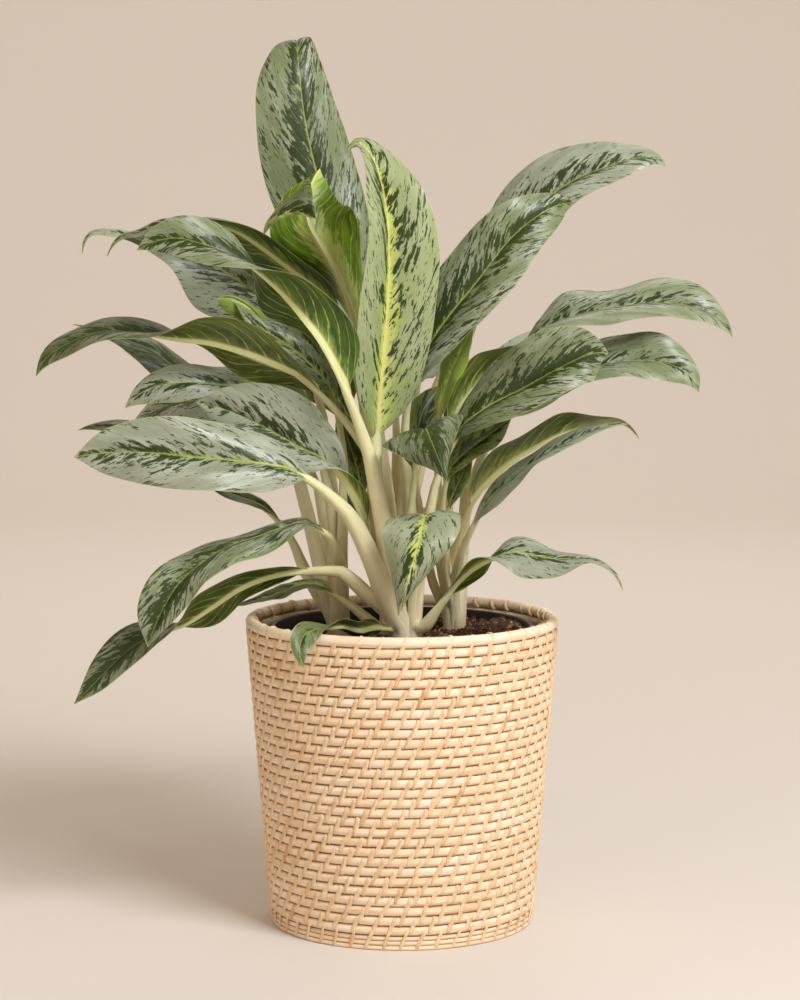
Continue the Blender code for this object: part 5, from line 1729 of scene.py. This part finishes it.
@dataclass
class NurseryPot:
    """A thin tapered pot with a rounded lip and drain holes."""

    foot: float = 8.3 * MM
    top: float = 297 * MM
    foot_radius: float = 98 * MM
    top_radius: float = 128.5 * MM
    lip_radius: float = 132.5 * MM
    lip_height: float = 9 * MM
    wall: float = 1.8 * MM
    holes: int = 5
    hole_ring: float = 62 * MM
    hole_radius: float = 7 * MM
    hole_sides: int = 32
    steps: int = 144
    finish: Finish = MouldedPolypropylene()

    def build(self) -> Object:
        """Builds and dresses the pot.

        Returns:
            The pot.
        """
        inner_top = self.top_radius - self.wall
        inner_foot = self.foot_radius - self.wall
        lip_low = self.top - self.lip_height
        below = inner_foot + (inner_top - inner_foot) * (lip_low - self.foot) / (self.top - self.foot)
        profile = [
            (0, self.foot), (self.foot_radius - 3 * MM, self.foot), (self.foot_radius, self.foot + 3 * MM),
            (below + self.wall, lip_low), (self.lip_radius - 0.6 * MM, lip_low),
            (self.lip_radius, lip_low + 0.6 * MM), (self.lip_radius, self.top - 2 * MM),
            (self.lip_radius - 0.6 * MM, self.top - 0.6 * MM), (self.lip_radius - 2 * MM, self.top),
            (inner_top + 1 * MM, self.top), (inner_top + 0.2 * MM, self.top - 0.6 * MM),
            (inner_top - 0.2 * MM, self.top - 2.4 * MM),
            (below, lip_low), (inner_foot + 0.5 * MM, self.foot + 4 * MM),
            (inner_foot - 3 * MM, self.foot + self.wall), (0, self.foot + self.wall),
        ]
        made = turned_piece("nursery_pot_shell", profile, self.steps)
        cutters = bpy.data.collections.new("drain_cutters")
        bpy.context.scene.collection.children.link(cutters)
        size = 2, self.hole_sides
        for k in range(self.holes):
            angle = FULL_TURN * k / self.holes
            middle = (self.hole_ring * math.cos(angle), self.hole_ring * math.sin(angle),
                      self.foot + self.wall / 2)
            turns = [FULL_TURN * i / self.hole_sides for i in range(self.hole_sides)]
            ring = [(self.hole_radius * math.cos(turn), self.hole_radius * math.sin(turn))
                    for turn in turns]
            points = [(middle[0] + x, middle[1] + y, middle[2] + z)
                      for z in (-5 * MM, 5 * MM) for x, y in ring]
            cutter = new_mesh(f"drain_cutter_{k}", points, tube_ends(*size) + tube_faces(*size))
            bpy.context.scene.collection.objects.unlink(cutter)
            cutters.objects.link(cutter)
        holes = made.modifiers.new("drain_holes", "BOOLEAN")
        holes.operand_type = "COLLECTION"
        holes.collection = cutters
        holes.solver = "EXACT"
        keep_result(made)
        for cutter in list(cutters.objects):
            bpy.data.objects.remove(cutter)
        bpy.data.collections.remove(cutters)
        return finish_piece(made, self.finish.build(), ["nursery_pot"])


@dataclass
class Soil:
    """Potting mix: a mounded surface with crumbs, bark and perlite lying on it."""

    slope: float = 0.07
    mound: float = 2.8 * MM
    roughness: float = 0.8 * MM
    bottom: float = 10.4 * MM
    pot_foot: float = 96.2 * MM
    pot_top: float = 126.4 * MM
    pot_height: float = 289 * MM
    rings: int = 46
    steps: int = 150
    finish: Finish = PottingMix()
    perlite: Finish = Perlite()

    def height(self, x: Array, y: Array) -> Array:
        """The surface's height over points of the floor: a slope, low mounds, and clods a few mm across."""
        rough = np.sin(x / (5.1 * MM) + 1.3 * np.sin(y / (6.3 * MM))) * np.cos(y / (4.3 * MM) + 1)
        rough = rough + 0.6 * np.sin(x / (2.7 * MM) + 2) * np.sin(y / (2.3 * MM) + np.sin(x / (7 * MM)))
        mounds = self.mound * np.sin(x / (21 * MM)) * np.cos(y / (17 * MM))
        return SOIL_TOP + self.slope * x + mounds + self.roughness * rough

    def pot_radius(self, z: Array) -> Array:
        """The soil's radius at a height."""
        return self.pot_foot + (self.pot_top - self.pot_foot) * (z - self.bottom) / self.pot_height

    def grain_tree(self) -> Tree:
        """Builds the tree that strews grains over a surface.

        Returns:
            The tree. Its sizes are in metres, its density in grains per square metre.
        """
        tree, given, result = geometry_tree("strewn_grains", {
            "Density": "Float", "Detail": "Int", "Smallest": "Float", "Largest": "Float",
            "Flatness": "Float", "Seed": "Int", "Darkest": "Float", "Lightest": "Float",
            "Material": "Material",
        })
        seed = given["Seed"]
        points = add(tree, "GeometryNodeDistributePointsOnFaces", {
            "Mesh": given["Geometry"], "Density": given["Density"], "Seed": seed,
        })
        grain = add(tree, "GeometryNodeMeshIcoSphere", {"Radius": 1.0, "Subdivisions": given["Detail"]})
        turn = add(tree, RANDOM, {0: (0, 0, 0), 1: (6.28, 6.28, 6.28), "Seed": seed}, **VECTOR)
        smallest = add(tree, COMBINE, [given["Smallest"]] * 3)
        largest = add(tree, COMBINE, [given["Largest"], given["Largest"], given["Flatness"]])
        size = add(tree, RANDOM, {0: smallest, 1: largest, "Seed": seed}, **VECTOR)
        strewn = add(tree, INSTANCES, {
            "Points": points, "Instance": grain, "Rotation": add(tree, TO_ROTATION, [turn]), "Scale": size,
        })
        shade = add(tree, RANDOM, {2: given["Darkest"], 3: given["Lightest"], "Seed": seed}, 1,
                    data_type="FLOAT")
        strewn = add(tree, STORE, {"Geometry": strewn, "Name": "shade", "Value": shade}, **NUMBER_EACH)
        strewn = add(tree, REALIZE, [strewn])
        jag = add(tree, NOISE, {"Vector": add(tree, PLACE), "Scale": 420.0, "Detail": 1}, "Color")
        jag = add(tree, VECTOR_MATH, [jag, (0.5, 0.5, 0.5)], operation="SUBTRACT")
        reach = add(tree, MATH, [given["Largest"], 1.1], operation="MULTIPLY")
        jag = add(tree, VECTOR_MATH, {0: jag, "Scale": reach}, operation="SCALE")
        strewn = add(tree, MOVE, {"Geometry": strewn, "Offset": jag})
        strewn = add(tree, SET_MATERIAL, {"Geometry": strewn, "Material": given["Material"]})
        tree.links.new(strewn, result)
        return tree

    def build(self) -> None:
        """Builds and dresses the soil and what lies on it."""
        angles = FULL_TURN * np.arange(self.steps) / self.steps
        edge = self.pot_radius(SOIL_TOP + self.slope * np.cos(angles) * self.pot_top)
        shares = np.linspace(1, 0, self.rings + 1)[:-1]
        x = (shares[:, None] * edge * np.cos(angles)).ravel()
        y = (shares[:, None] * edge * np.sin(angles)).ravel()
        top = np.column_stack([x, y, self.height(x, y)])
        foot = self.pot_radius(self.bottom)
        low = np.full(self.steps, self.bottom)
        low = np.column_stack([foot * np.cos(angles), foot * np.sin(angles), low])
        points = np.concatenate([low, top, [(0, 0, self.height(0, 0)), (0, 0, self.bottom)]])
        n = self.steps
        faces = tube_faces(self.rings + 1, n)
        peak = len(points) - 2
        for i in range(n):
            j = (i + 1) % n
            faces += [(self.rings * n + i, self.rings * n + j, peak), (j, i, peak + 1)]
        soil = new_mesh("soil_body", points, faces, 80)
        made = soil.data.attributes.new("shade", "FLOAT", "POINT")
        made.data.foreach_set("value", np.full(len(points), 0.15, np.float32))
        surface = new_mesh("soil_surface", points, [f for f in faces[n:] if min(f) >= n], 80)
        finish_piece(soil, self.finish.build(), ["soil"])
        tree = self.grain_tree()
        # Grains for each square metre, their detail, smallest, largest and flat size (mm) and their shades
        for name, density, detail, small, large, flat, dark, light, finish in (
            ("crumbs", 90000.0, 1, 0.4, 1.8, 1.8, 0.0, 0.7, self.finish),
            ("bark_bits", 14000.0, 1, 0.8, 5.0, 1.6, 0.2, 1.0, self.finish),
            ("perlite_grains", 600.0, 2, 0.6, 2.6, 2.2, 0.4, 1.0, self.perlite),
        ):
            piece = grow(link(name, surface.data.copy()), tree, {
                "Density": density, "Detail": detail, "Smallest": small * MM, "Largest": large * MM,
                "Flatness": flat * MM, "Seed": SEED, "Darkest": dark, "Lightest": light,
                "Material": finish.build(),
            })
            finish_piece(piece, None, ["soil"])
        bpy.data.objects.remove(surface)


# The studio


@dataclass
class Studio:
    """A pale seamless sweep all round, soft lights and the camera of the photograph.

    Each light has its name, its place and the point that it faces, its side (m), its power (W) and its
    colour. The wall lights stand in three directions (degrees), at wall_place, and light the sweep at
    wall_aim: distances from the middle, and heights.
    """

    paper: Finish = StudioPaper()
    radius: float = 6.4
    bend: float = 2.6
    top: float = 4.2
    floor_rings: int = 4
    bend_steps: int = 14
    segments: int = 72
    lights: tuple = (
        ("key_light", (1.75, -2.25, 3.05), (0, 0, 0.4), 1.65, 155.0, "#F9FBFF"),
        ("fill_light", (-2.2, -2.4, 1.4), (0, 0, 0.4), 2.4, 8.0, "#FFF3E4"),
        ("back_light", (0, 2.6, 3.5), (0, 4.7, 0), 2.2, 67.0, "#FFFAF4"),
    )
    wall_lights: tuple = (("left", 180), ("right", 0), ("front", 270))
    wall_place: tuple = (3.2, 4.2)
    wall_aim: tuple = (7.4, 0)
    wall_light: tuple = (2.4, 51.0, "#FFF9F2")
    sky: str = "#FFE4C6"
    sky_strength: float = 0.34
    far_clip: float = 30

    def build(self) -> None:
        """Builds the sweep, the lights and the camera."""
        self.sweep()
        for values in self.lights:
            self.light(*values)
        for name, degrees in self.wall_lights:
            x, y = math.cos(math.radians(degrees)), math.sin(math.radians(degrees))
            place, aim = ((far * x, far * y, z) for far, z in (self.wall_place, self.wall_aim))
            self.light(f"{name}_wall_light", place, aim, *self.wall_light)
        world = bpy.data.worlds.new("soft_room")
        world.use_nodes = True
        sky = world.node_tree.nodes["Background"].inputs
        fill(world.node_tree, sky, {"Color": self.sky, "Strength": self.sky_strength})
        bpy.context.scene.world = world
        self.camera()

    def sweep(self) -> None:
        """Builds the paper: a round floor that curves up into a wall."""
        flat = self.radius - self.bend
        profile = [(flat * k / self.floor_rings, 0.0) for k in range(1, self.floor_rings + 1)]
        for k in range(1, self.bend_steps + 1):
            angle = math.pi / 2 * k / self.bend_steps
            profile.append((flat + self.bend * math.sin(angle), self.bend - self.bend * math.cos(angle)))
        profile.append((self.radius, self.top))
        turns = [FULL_TURN * k / self.segments for k in range(self.segments)]
        points = [(r * math.cos(turn), r * math.sin(turn), z) for r, z in profile for turn in turns]
        faces = [(0, 1 + k, 1 + (k + 1) % self.segments) for k in range(self.segments)]
        for ring in range(len(profile) - 1):
            low = 1 + ring * self.segments
            for k in range(self.segments):
                after = (k + 1) % self.segments
                faces.append((low + k, low + k + self.segments, low + after + self.segments, low + after))
        floor = new_mesh("paper_sweep", [(0.0, 0.0, 0.0), *points], faces, 80)
        floor.data.materials.append(self.paper.build())

    def light(self, name: str, place: tuple, aim: tuple, size: float, power: float, colour: str) -> None:
        """Adds a soft square light.

        Args:
            name: The light's name.
            place: Where it stands.
            aim: The point that it faces.
            size: Its side in metres.
            power: Its power in watts.
            colour: Its colour.
        """
        lamp = bpy.data.lights.new(name, "AREA")
        lamp.size = size
        lamp.energy = power
        lamp.color = linear(colour)[:3]
        made = link(name, lamp)
        made.location = place
        made.rotation_euler = (Vector(aim) - Vector(place)).to_track_quat("-Z", "Y").to_euler()
        made.visible_camera = False

    def camera(self) -> None:
        """Adds the camera that the leaves were laid out for."""
        lens = bpy.data.cameras.new("camera")
        lens.sensor_width = SENSOR
        lens.lens = SENSOR * PICTURE_DISTANCE / PICTURE_HEIGHT
        lens.clip_end = self.far_clip
        made = link("camera", lens)
        made.location = Vector(EYE.tolist())
        made.rotation_euler = (math.pi / 2 - PITCH_DOWN, 0, 0)
        bpy.context.scene.camera = made


def main() -> None:
    """Builds the studio and every piece."""
    logging.basicConfig(level=logging.INFO, format="%(name)s: %(message)s")
    Studio().build()
    CoiledBasket().build()
    NurseryPot().build()
    Soil().build()
    Plant().build()
    view = bpy.context.scene.view_settings
    view.view_transform = "Standard"
    view.look = "None"


if __name__ == "__main__":
    main()
